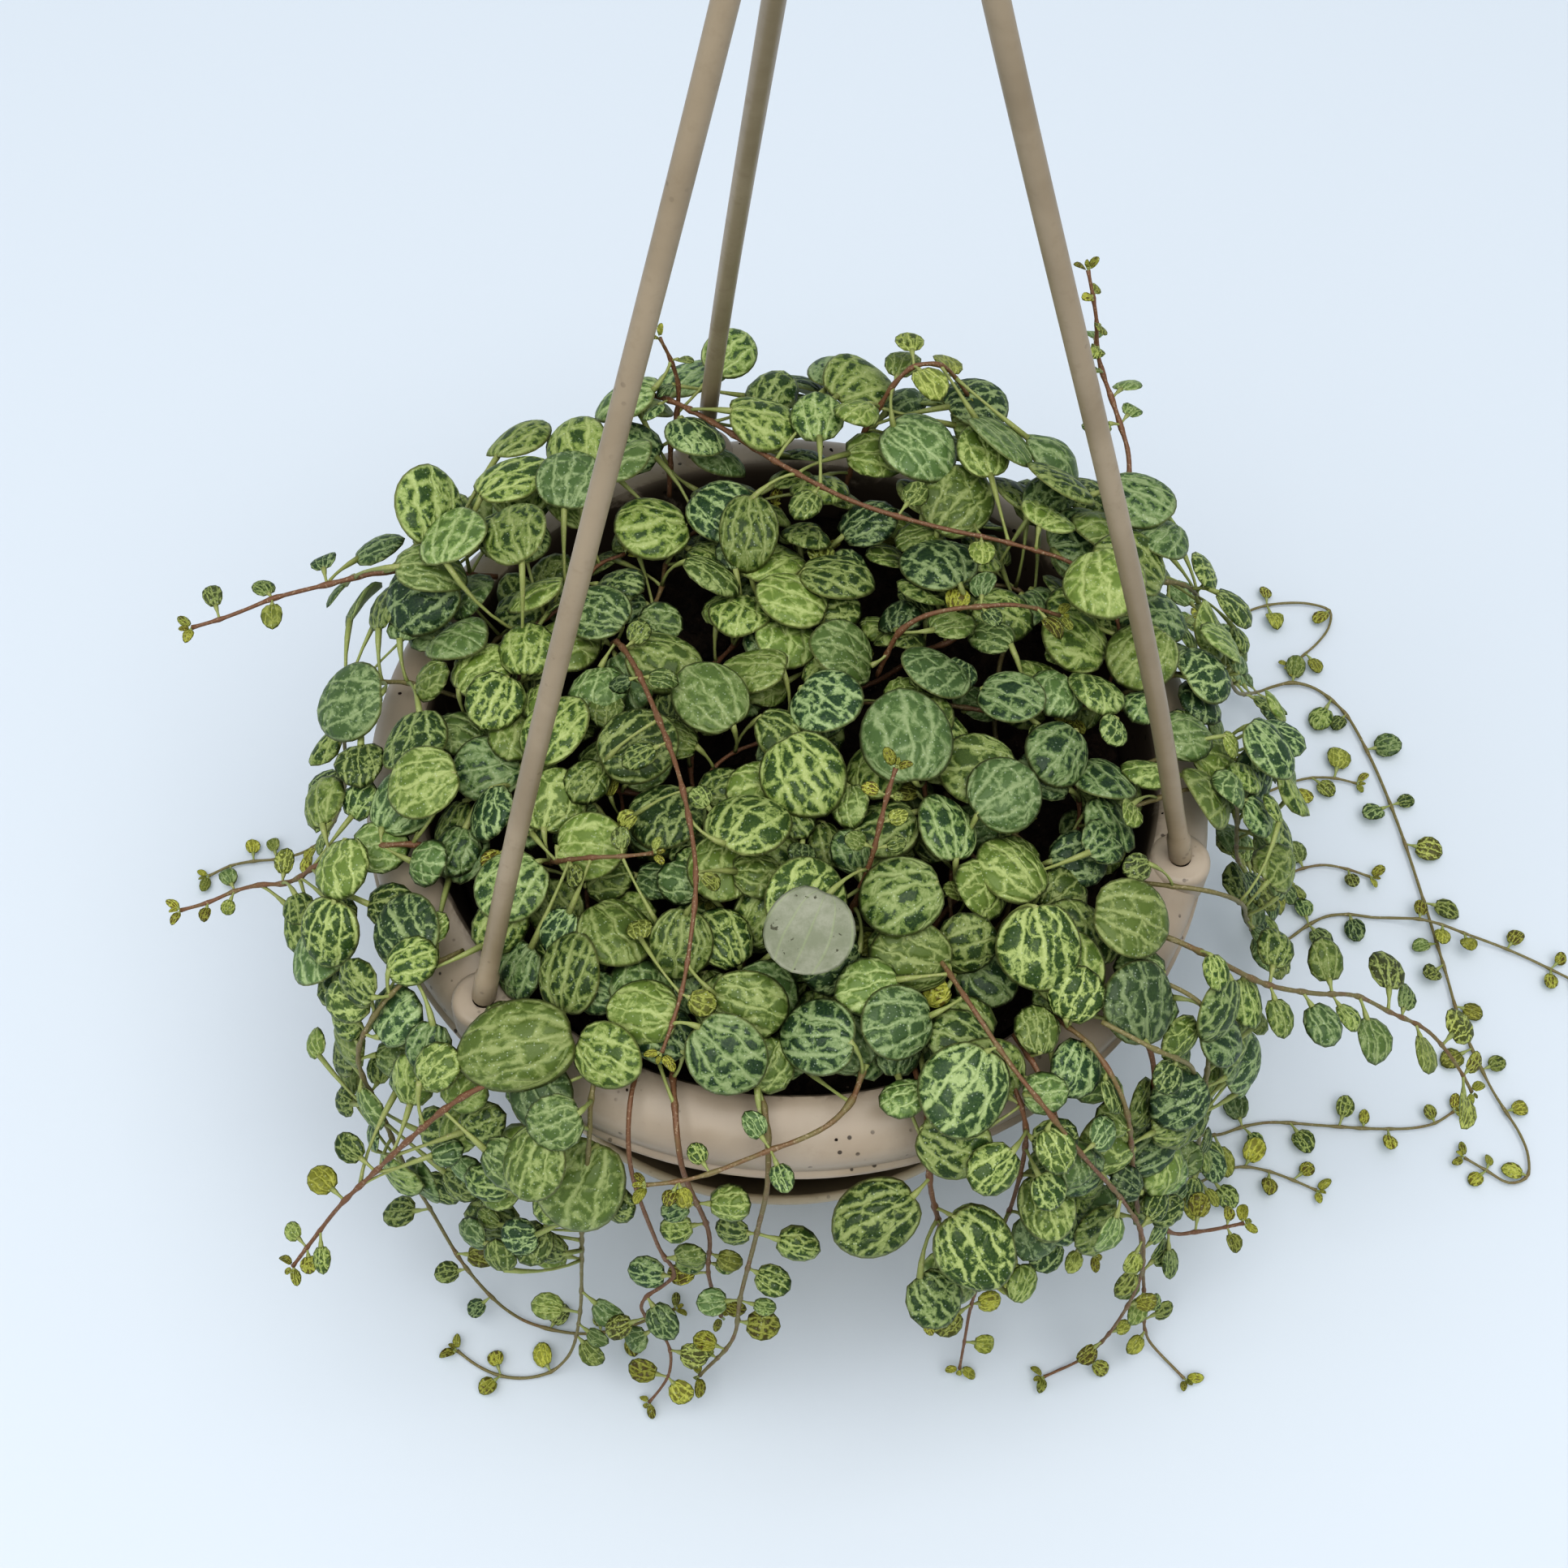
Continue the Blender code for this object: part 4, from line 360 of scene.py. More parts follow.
def crown_radius(x: float, y: float) -> float:
    """How far out the crown's leaves go in the direction of a point.

    Args:
        x: the point's place to the right.
        y: the point's place to the back.

    Returns:
        The distance from the axis.
    """
    angle = compass(x, y)
    for start, end, reach in BARE_STRETCHES:
        if start <= angle <= end:
            return reach
    return CROWN_RADIUS


def arm_points(arm: Arm, steps: int = ARM_STEPS) -> list[Vector]:
    """The middle line of a hanger arm.

    Args:
        arm: which arm it is.
        steps: how many straight pieces the line has.

    Returns:
        Points from the rim to the arm's top.
    """
    direction = heading(arm.value)
    points = []
    for step in range(steps + 1):
        rise = (ARM_TOP - RIM_TOP) * step / steps
        share = rise / ARM_LEAN_SPAN
        lean = sum(c * share ** (k + 1) for k, c in enumerate(ARM_LEAN))
        points.append(direction * (ARM_CIRCLE - lean * ARM_LEAN_SPAN) + Vector((0, 0, RIM_TOP + rise)))
    return points


def smooth_line(points: Iterable[Spot], spacing: float) -> list[Vector]:
    """Evenly spaced points on a smooth curve through the given ones.

    Args:
        points: the places that the curve passes.
        spacing: the wished distance between two points of the result.

    Returns:
        The points, none lower than a stem lies on the surface.
    """
    row = [Vector(p) for p in points]
    row = [row[0] * 2 - row[1]] + row + [row[-1] * 2 - row[-2]]
    dense = []
    for k in range(1, len(row) - 2):
        p0, p1, p2, p3 = row[k - 1 : k + 3]
        for j in range(8):
            t = j / 8
            dense.append(
                0.5 * (2 * p1 + (p2 - p0) * t + (2 * p0 - 5 * p1 + 4 * p2 - p3) * t * t
                       + (3 * p1 - p0 - 3 * p2 + p3) * t ** 3)
            )
    dense.append(row[-2])
    lengths = [0.0]
    for a, b in zip(dense, dense[1:]):
        lengths.append(lengths[-1] + (b - a).length)
    count = max(3, round(lengths[-1] / spacing))
    even = []
    k = 0
    for j in range(count + 1):
        want = lengths[-1] * j / count
        while k < len(lengths) - 2 and lengths[k + 1] < want:
            k += 1
        t = (want - lengths[k]) / max(1e-9, lengths[k + 1] - lengths[k])
        point = dense[k].lerp(dense[k + 1], min(1.0, t))
        point.z = max(point.z, LYING_HEIGHT)
        even.append(point)
    return even


def tube_tree(points: list[Vector], radius: float) -> BVHTree:
    """A search tree over a four-sided tube along a row of points.

    Args:
        points: the tube's middle line.
        radius: from the middle line to the tube's corners.

    Returns:
        The tree, for tests of what touches what.
    """
    verts, faces = [], []
    for k, p in enumerate(points):
        ahead = points[min(k + 1, len(points) - 1)] - points[max(k - 1, 0)]
        side = ahead.cross(Vector((0.3, 0.2, 0.93))).normalized() * radius
        rise = ahead.cross(side).normalized() * radius
        verts += [p + side, p + rise, p - side, p - rise]
        if k:
            base = 4 * (k - 1)
            faces += [(base + j, base + (j + 1) % 4, base + 4 + (j + 1) % 4, base + 4 + j) for j in range(4)]
    return BVHTree.FromPolygons(verts, faces)


def segment_gap(a: Vector, b: Vector, c: Vector, d: Vector) -> float:
    """The least distance between two straight pieces, a to b and c to d.

    Args:
        a: one end of the first piece.
        b: its other end.
        c: one end of the second piece.
        d: its other end.

    Returns:
        The distance.
    """
    u, v, w = b - a, d - c, a - c
    uu, uv, vv, uw, vw = u.dot(u), u.dot(v), v.dot(v), u.dot(w), v.dot(w)
    bottom = uu * vv - uv * uv
    s = 0.0 if bottom < 1e-18 else min(1.0, max(0.0, (uv * vw - vv * uw) / bottom))
    t = min(1.0, max(0.0, (uv * s + vw) / vv))
    s = min(1.0, max(0.0, (uv * t - uw) / uu))
    return (w + u * s - v * t).length


@dataclass(frozen=True)
class Room:
    """The room that one thing takes: a ball around it, its search tree and the stem that owns it."""

    middle: Vector
    reach: float
    tree: BVHTree
    owner: int


@dataclass
class Garden:
    """Everything that the plant's stems and leaves have to keep clear of.

    The gap is what leaves keep from each other, and below nothing they may press together a little.
    """

    gap: float = LEAF_CLEARANCE
    rooms: list[Room] = field(default_factory=list)
    stems: list[Stem] = field(default_factory=list)
    leaves: list[Leaf] = field(default_factory=list)

    def __post_init__(self) -> None:
        """Keeps the room of the hanger's arms."""
        for arm in Arm:
            self.keep_room(arm_points(arm), COLLAR_DIAMETER / 2 + LEAF_CLEARANCE, HANGER)

    def keep_room(self, points: list[Vector], radius: float, owner: int) -> None:
        """Keeps the room that a tube takes.

        Args:
            points: the tube's middle line.
            radius: how thick it is.
            owner: the number of the stem that it belongs to, or HANGER.
        """
        middle = sum(points, Vector()) / len(points)
        reach = max((p - middle).length for p in points) + radius
        self.rooms.append(Room(middle, reach, tube_tree(points, radius), owner))

    def clear_of_pot(self, point: Vector, margin: float) -> bool:
        """True where a point is clear of the pot, the saucer, the soil and the surface below.

        Args:
            point: the point.
            margin: how far it has to be clear.

        Returns:
            Whether it is clear.
        """
        radius = math.hypot(point.x, point.y)
        if point.z < margin:
            return False
        if point.z > RIM_TOP + LUG_RISE + margin:
            return True
        inner = RIM_RADIUS - RIM_WIDTH - margin
        for arm in Arm:
            lug = heading(arm.value).xy * ARM_CIRCLE
            if (Vector((point.x, point.y)) - lug).length < LUG_RADIUS + margin and point.z > LUG_FOOT:
                return False
        if radius < inner:
            return point.z > soil_height(radius) + margin
        if point.z > RIM_TOP - SKIRT_DEPTH - margin:
            return radius > RIM_RADIUS + FLANGE + margin
        if point.z < SAUCER_LIP_HEIGHT + LIP_ROLL + margin:
            return radius > SAUCER_LIP_RADIUS + LIP_ROLL + margin
        return radius > pot_radius(point.z) + margin

    def stem_fits(self, points: list[Vector], spare: float) -> bool:
        """True if a new stem keeps clear of the pot and of every stem placed before.

        Args:
            points: the new stem's points.
            spare: the room to leave beyond its thickness.

        Returns:
            Whether it fits.
        """
        if not all(self.clear_of_pot(p, STEM_RADIUS + CLEARANCE) for p in points):
            return False
        tree = tube_tree(points, STEM_RADIUS + spare)
        if any(room.owner == HANGER and tree.overlap(room.tree) for room in self.rooms):
            return False
        for stem in self.stems:
            for a, b in zip(stem.points, stem.points[1:]):
                for c, d in zip(points, points[1:]):
                    if (a - c).length > NEAR_STEM:
                        continue
                    if segment_gap(a, b, c, d) < 2 * STEM_RADIUS + spare:
                        return False
        return True

    def add_stem(self, stem: Stem) -> None:
        """Takes a stem into the plant."""
        self.stems.append(stem)
        self.keep_room(stem.points, STEM_RADIUS, len(self.stems) - 1)

    def leaf_fits(self, leaf: Leaf, petiole_radius: float) -> bool:
        """True if a leaf and its petiole touch nothing that is there already.

        Args:
            leaf: the leaf.
            petiole_radius: half its petiole's thickness.

        Returns:
            Whether it fits.
        """
        frame_of = leaf.matrix()
        grow = self.gap
        half_l, half_w = leaf.length / 2 + grow, leaf.width / 2 + grow
        top = LEAF_DOME * leaf.length + grow
        ring = []
        for k in range(8):
            angle = math.pi * (k + 0.5) / 4
            ring.append(Vector((math.cos(angle) * half_l, math.sin(angle) * half_w, 0.0)) * 1.04)
        verts = [frame_of @ (p + Vector((0, 0, -grow))) for p in ring]
        verts += [frame_of @ (p + Vector((0, 0, grow))) for p in ring]
        verts += [frame_of @ Vector((0, 0, -grow)), frame_of @ Vector((0, 0, top))]
        if not all(self.clear_of_pot(p, LEAF_CLEARANCE) for p in verts):
            return False
        if not all(self.clear_of_pot(frame_of @ (p * 0.5), LEAF_CLEARANCE) for p in ring):
            return False
        faces = [(k, (k + 1) % 8, 8 + (k + 1) % 8, 8 + k) for k in range(8)]
        faces += [(16, (k + 1) % 8, k) for k in range(8)] + [(17, 8 + k, 8 + (k + 1) % 8) for k in range(8)]
        blade = BVHTree.FromPolygons(verts, faces)
        stalk = None
        run = leaf.hold() - leaf.root
        if run.length > leaf.length * 0.35:
            start = leaf.root + run.normalized() * (STEM_RADIUS + 0.0003)
            row = [start.lerp(leaf.hold(), t / 3) for t in range(4)]
            if not all(self.clear_of_pot(p, petiole_radius + LEAF_CLEARANCE) for p in row):
                return False
            stalk = tube_tree(row, petiole_radius + self.gap)
        reach = leaf.length * 0.75 + 0.001
        for room in self.rooms:
            away = (room.middle - leaf.centre).length - room.reach - reach
            foreign = room.owner != leaf.stem
            if away < 0 and (foreign or run.length > leaf.length * 0.35 + 0.0012):
                if blade.overlap(room.tree):
                    return False
            if stalk and foreign and away < run.length and stalk.overlap(room.tree):
                return False
        return True

    def add_leaf(self, leaf: Leaf, petiole_radius: float) -> None:
        """Takes a leaf into the plant and keeps its room.

        Args:
            leaf: the leaf.
            petiole_radius: half its petiole's thickness.
        """
        frame_of = leaf.matrix()
        ring = []
        for k in range(8):
            angle = math.pi * k / 4
            edge = Vector((math.cos(angle) * leaf.length / 2, math.sin(angle) * leaf.width / 2, 0))
            ring.append(frame_of @ edge)
        verts = ring + [frame_of @ Vector((0, 0, 0)), frame_of @ Vector((0, 0, LEAF_DOME * leaf.length))]
        faces = [(8, (k + 1) % 8, k) for k in range(8)] + [(9, k, (k + 1) % 8) for k in range(8)]
        self.leaves.append(leaf)
        self.rooms.append(Room(leaf.centre, leaf.length * 0.62, BVHTree.FromPolygons(verts, faces), FOLIAGE))
        run = leaf.hold() - leaf.root
        if run.length > leaf.length * 0.35:
            start = leaf.root + run.normalized() * (STEM_RADIUS + 0.0002)
            row = [start.lerp(leaf.hold(), t / 2) for t in range(3)]
            middle = (start + leaf.hold()) / 2
            self.rooms.append(Room(middle, run.length * 0.6, tube_tree(row, petiole_radius), FOLIAGE))


def tilted(direction: Vector, lean: float, toward: float) -> Vector:
    """Direction turned by a lean, in degrees, towards a compass angle.

    Args:
        direction: the direction.
        lean: how far it turns.
        toward: the compass angle that it turns to.

    Returns:
        The turned direction, of length 1.
    """
    angle = math.radians(toward)
    axis = Vector((-math.sin(angle), math.cos(angle), 0.0))
    return (Matrix.Rotation(math.radians(lean), 3, axis) @ direction).normalized()


def blade_axis(normal: Vector, wish: Vector) -> Vector:
    """The direction in the blade's plane that lies nearest to the one wished for.

    Args:
        normal: the way the blade's upper face looks.
        wish: the direction wished for.

    Returns:
        The direction, of length 1.
    """
    flat = wish - normal * wish.dot(normal)
    if flat.length < 1e-6:
        flat = normal.orthogonal()
    return flat.normalized()


class Gardener:
    """Grows the plant on its stems, one kind of leaf after another."""

    def __init__(self, garden: Garden, seed: int) -> None:
        """Starts with a garden, its own run of random draws and no stem point in use.

        Args:
            garden: the garden to grow in.
            seed: the start of its draws.
        """
        self.garden = garden
        self.rng = random.Random(seed)
        self.used: set[tuple[int, int]] = set()

    def grow_leaf(self, centre: Vector, normal: Vector, length: float, width: float,
                  wish: Vector | None, age: float, reach: float) -> Leaf | None:
        """Grows the first leaf at a place that fits on a stem near it.

        Args:
            centre: the middle of the blade.
            normal: the way its upper face looks.
            length: the blade's length.
            width: the blade's width.
            wish: the way its tip should point, or None to point away from the stem.
            age: from 0, new, to 1, full grown.
            reach: the longest petiole.

        Returns:
            The leaf, or None where none fits.
        """
        near = []
        for index, stem in enumerate(self.garden.stems):
            for k in range(1, len(stem.points) - 1):
                away = (stem.points[k] - centre).length
                if away < reach and (index, k) not in self.used:
                    near.append((away, index, k))
        near.sort()
        for _, index, k in near[:7]:
            stem = self.garden.stems[index]
            root = stem.points[k]
            from_stem = centre - root
            if from_stem.length < length * 0.42 or normal.dot(from_stem) < -0.35 * length:
                continue
            towards = wish if wish else from_stem.normalized() + Vector(
                (self.rng.uniform(-0.5, 0.5), self.rng.uniform(-0.5, 0.5), 0.0))
            along = blade_axis(normal, towards)
            leaf = Leaf(index, k / (len(stem.points) - 1), root, centre, along, normal, length, width, age)
            if (leaf.base() - root).length > reach:
                continue
            if self.garden.leaf_fits(leaf, PETIOLE_RADIUS):
                self.used.add((index, k))
                self.garden.add_leaf(leaf, PETIOLE_RADIUS)
                return leaf
        return None

    def grow_runners(self) -> None:
        """Grows short stems that creep over the soil under the crown, each clear of the others."""
        rng, made = self.rng, 0
        while made < RUNNER_COUNT:
            turn = math.tau * (made + rng.uniform(-0.3, 0.3)) * 0.382
            start = RUNNER_REACH * math.sqrt((made + 0.5) / RUNNER_COUNT) * rng.uniform(0.6, 1.0)
            x, y = math.cos(turn) * start, math.sin(turn) * start
            bearing = rng.uniform(0, math.tau)
            lift = rng.uniform(0.006, 0.014)
            points = []
            for step in range(RUNNER_STEPS):
                radius = math.hypot(x, y)
                rise = min(1.0, step / 3.0)
                points.append((x, y, soil_height(radius) + 0.0009 + lift * rise * rise * (3 - 2 * rise)))
                bearing += rng.gauss(0, 0.3)
                ahead = math.hypot(x + math.cos(bearing) * 0.01, y + math.sin(bearing) * 0.01)
                if ahead > RUNNER_REACH:
                    inward = math.atan2(-y, -x)
                    bearing += 0.8 * math.sin(inward - bearing)
                x += math.cos(bearing) * RUNNER_STEP
                y += math.sin(bearing) * RUNNER_STEP
            row = smooth_line(points, STEM_SPACING)
            inside = all(math.hypot(p.x, p.y) < RUNNER_REACH + 0.004 for p in row)
            if inside and self.garden.stem_fits(row, 0.0005):
                made += 1
                self.garden.add_stem(Stem(f"stem_crown_runner_{made:02d}", row))

    def grow_show_leaves(self) -> None:
        """Grows the large leaves that stand out in the crown and over the rim."""
        rng = self.rng
        for place, length, width, tip, lean, toward in SHOW_LEAVES:
            normal = tilted(Vector((0, 0, 1)), lean, toward)
            for attempt in range(24):
                shift = Vector((rng.uniform(-1, 1), rng.uniform(-1, 1), rng.uniform(-1, 1)))
                centre = Vector(place) + shift * 0.0002 * attempt
                if self.grow_leaf(centre, normal, length, width, heading(tip), 1.0, SHOW_REACH):
                    break

    def grow_crown(self, count: int, sizes: tuple[float, float], depths: tuple[float, float],
                   tries: int) -> None:
        """Grows leaves spread evenly over the crown's top, each in the first free place near its own.

        Args:
            count: how many places are tried.
            sizes: the least and the greatest length of a blade.
            depths: how far below the crown's top a blade may lie.
            tries: how many times each place is tried, deeper each time.
        """
        rng = self.rng
        for k in range(count):
            turn = k * math.pi * (3 - math.sqrt(5)) + rng.uniform(-0.2, 0.2)
            spread = math.sqrt((k + 0.5) / count)
            for attempt in range(tries):
                reach = crown_radius(math.cos(turn), math.sin(turn))
                radius = reach * spread + rng.uniform(-0.002, 0.002)
                angle = turn + rng.uniform(-0.06, 0.06)
                x, y = math.cos(angle) * radius, math.sin(angle) * radius
                length = rng.uniform(*sizes)
                width = length * rng.uniform(0.84, 1.0)
                depth = rng.uniform(*depths) + 0.0006 * attempt
                normal = Vector((x * 7.0, y * 7.0, 1.0)).normalized()
                normal = tilted(normal, rng.uniform(4, 32), rng.uniform(0, 360))
                centre = Vector((x, y, crown_height(radius) - depth))
                age = min(1.0, (length - 0.003) / 0.008) * rng.uniform(0.75, 1.0)
                if self.grow_leaf(centre, normal, length, width, None, age, CROWN_REACH):
                    break

    def grow_curtains(self, tries: int, finer: float = 1.0) -> None:
        """Grows leaves that hang over the rim, facing outwards and up.

        Args:
            tries: how many places are tried for each leaf.
            finer: what their sizes are multiplied by.
        """
        rng = self.rng
        top = RIM_TOP + CURTAIN_RISE
        for start, end, lowest, count in CURTAINS:
            for _ in range(count):
                for _ in range(tries):
                    angle = math.radians(rng.uniform(start, end))
                    drop = rng.random()
                    height = top - (top - lowest) * drop
                    radius = RIM_RADIUS + 0.003 + 0.010 * math.sqrt(drop) + rng.uniform(-0.002, 0.004)
                    centre = Vector((math.cos(angle) * radius, math.sin(angle) * radius, height))
                    outward = Vector((math.cos(angle), math.sin(angle), 0.0))
                    normal = (outward * (0.35 + 0.75 * drop) + Vector((0, 0, 0.8))).normalized()
                    normal = tilted(normal, rng.uniform(0, 30), rng.uniform(0, 360))
                    length = rng.uniform(0.0070, 0.0118) * (1 - 0.2 * drop) * finer
                    width = length * rng.uniform(0.80, 0.98)
                    age = rng.uniform(0.6, 1.0)
                    if self.grow_leaf(centre, normal, length, width, None, age, CURTAIN_REACH):
                        break

    def grow_band(self, count: int, angles: tuple[float, float], radii: tuple[float, float],
                  rises: tuple[float, float], sizes: tuple[float, float]) -> None:
        """Grows leaves along a stretch of the crown's edge, leaning any way.

        Args:
            count: how many places are filled.
            angles: the compass angles that the stretch runs between.
            radii: how far from the axis they may be.
            rises: how far above the crown's top they may be.
            sizes: their shortest and longest blades.
        """
        rng = self.rng
        for k in range(count):
            for _ in range(12):
                outward = heading(angles[0] + (angles[1] - angles[0]) * (k + rng.random()) / count)
                radius = rng.uniform(*radii)
                centre = outward * radius + Vector((0, 0, crown_height(radius) + rng.uniform(*rises)))
                normal = (outward * rng.uniform(-0.5, 0.75) + Vector((0, 0, 1.0))).normalized()
                normal = tilted(normal, rng.uniform(0, 24), rng.uniform(0, 360))
                length = rng.uniform(*sizes)
                width = length * rng.uniform(0.78, 0.98)
                if self.grow_leaf(centre, normal, length, width, None, rng.uniform(0.6, 1.0), SHOW_REACH):
                    break

    def lay_fallen_leaf(self) -> None:
        """Lays one large leaf with its pale underside up near the front of the crown."""
        x, y, z = FALLEN_LEAF
        for rise in range(16):
            leaf = self.grow_leaf(Vector((x, y, z + 0.0005 * rise)), tilted(Vector((0, 0, 1)), 12, 262),
                                  *FALLEN_SIZE, Vector((-0.35, -1.0, 0.0)), 1.0, FALLEN_REACH)
            if leaf:
                leaf.turned_over = True
                return

    def grow_along(self, closer: float = 1.0, finer: float = 1.0) -> None:
        """Grows the leaves along each stem's free length, left and right in turn.

        Args:
            closer: what the gaps between them are multiplied by.
            finer: what their sizes are multiplied by.
        """
        rng = self.rng
        for index, stem in enumerate(self.garden.stems):
            route = stem.route
            if route is None:
                continue
            last = len(stem.points) - 1
            length_of = stem.length()
            step = length_of / last
            first, last_size = route.leaf_sizes
            along_it = route.leaves_from * length_of
            hand = 1.0
            while along_it < length_of - 0.0005:
                k = min(last - 1, max(1, round(along_it / step)))
                share = k / last
                point = stem.points[k]
                ahead = (stem.points[k + 1] - stem.points[k - 1]).normalized()
                outward = Vector((point.x, point.y, 0.0)).normalized()
                face = (Vector((0, 0, 1.0)) + outward * 0.7 * abs(ahead.z)).normalized()
                side = ahead.cross(face).normalized()
                size = first + (last_size - first) * (share - route.leaves_from) / (1 - route.leaves_from)
                hand = -hand
                if (index, k) not in self.used:
                    for attempt in range(14):
                        length = size * rng.uniform(0.85, 1.15) * finer
                        width = length * rng.uniform(0.76, 0.95)
                        stalk = length * rng.uniform(0.10, 0.45) + 0.0004
                        sideways = (side * hand + ahead * rng.uniform(-0.1, 0.7)
                                    + face * rng.uniform(0.0, 0.35 + 0.04 * attempt)).normalized()
                        normal = tilted(face, rng.uniform(0, 28 + attempt), rng.uniform(0, 360))
                        along = blade_axis(normal, sideways)
                        centre = point + sideways * stalk + along * length * 0.5
                        leaf = Leaf(index, share, point, centre, along, normal, length, width,
                                    max(0.0, 0.9 - share * 0.9) * rng.uniform(0.6, 1.0))
                        if self.garden.leaf_fits(leaf, PETIOLE_RADIUS * 0.8):
                            self.garden.add_leaf(leaf, PETIOLE_RADIUS * 0.8)
                            self.used.add((index, k))
                            break
                        hand = -hand if attempt % 3 == 2 else hand
                along_it += route.leaf_gap * rng.uniform(0.85, 1.15) * closer

    def grow_tips(self) -> None:
        """Grows two tiny leaves and a bud at the end of each stem."""
        rng = self.rng
        for index, stem in enumerate(self.garden.stems):
            tip = stem.points[-1]
            ahead = (tip - stem.points[-2]).normalized()
            side = ahead.cross(Vector((0, 0, 1))).normalized()
            for hand, length in ((-1, 0.0026), (1, 0.0021), (0, 0.0014)):
                length *= rng.uniform(0.85, 1.25)
                along = (ahead * rng.uniform(0.5, 1.0) + side * hand + Vector((0, 0, 0.25))).normalized()
                normal = blade_axis(along, Vector((rng.uniform(-0.4, 0.4), rng.uniform(-0.4, 0.4), 1.0)))
                centre = tip + along * (length * 0.5 + 0.0004)
                centre.z = max(centre.z, length * 0.35)
                self.garden.leaves.append(
                    Leaf(index, 1.0, tip, centre, along, normal, length, length * 0.62, 0.0))


def lay_out_plant() -> Garden:
    """Places every stem and leaf: those of the frame first, then the finer ones between them.

    Returns:
        The garden with all stems and leaves.
    """
    garden = Garden()
    gardener = Gardener(garden, SEED)
    for route in ROUTES:
        garden.add_stem(Stem(route.name, smooth_line(route.points, STEM_SPACING), route))
    gardener.grow_runners()
    gardener.grow_show_leaves()
    gardener.grow_crown(105, (0.0092, 0.0122), (0.0, 0.003), 14)
    gardener.grow_curtains(10)
    gardener.grow_along()
    gardener.grow_crown(120, (0.0068, 0.0092), (0.0, 0.007), 14)
    filler = Gardener(garden, SEED + 1)
    filler.lay_fallen_leaf()
    garden.gap = -0.0004
    filler.grow_band(46, (22, 162), (0.046, 0.064), (0.0, 0.0105), (0.0092, 0.0128))
    filler.grow_band(18, (236, 298), (0.043, 0.054), (-0.0035, 0.0005), (0.0084, 0.0118))
    filler.grow_crown(170, (0.0066, 0.0106), (0.000, 0.005), 12)
    filler.grow_crown(70, (0.0036, 0.0062), (-0.001, 0.004), 10)
    filler.grow_curtains(6, 0.72)
    filler.grow_along(2.4, 0.8)
    filler.grow_tips()
    return garden


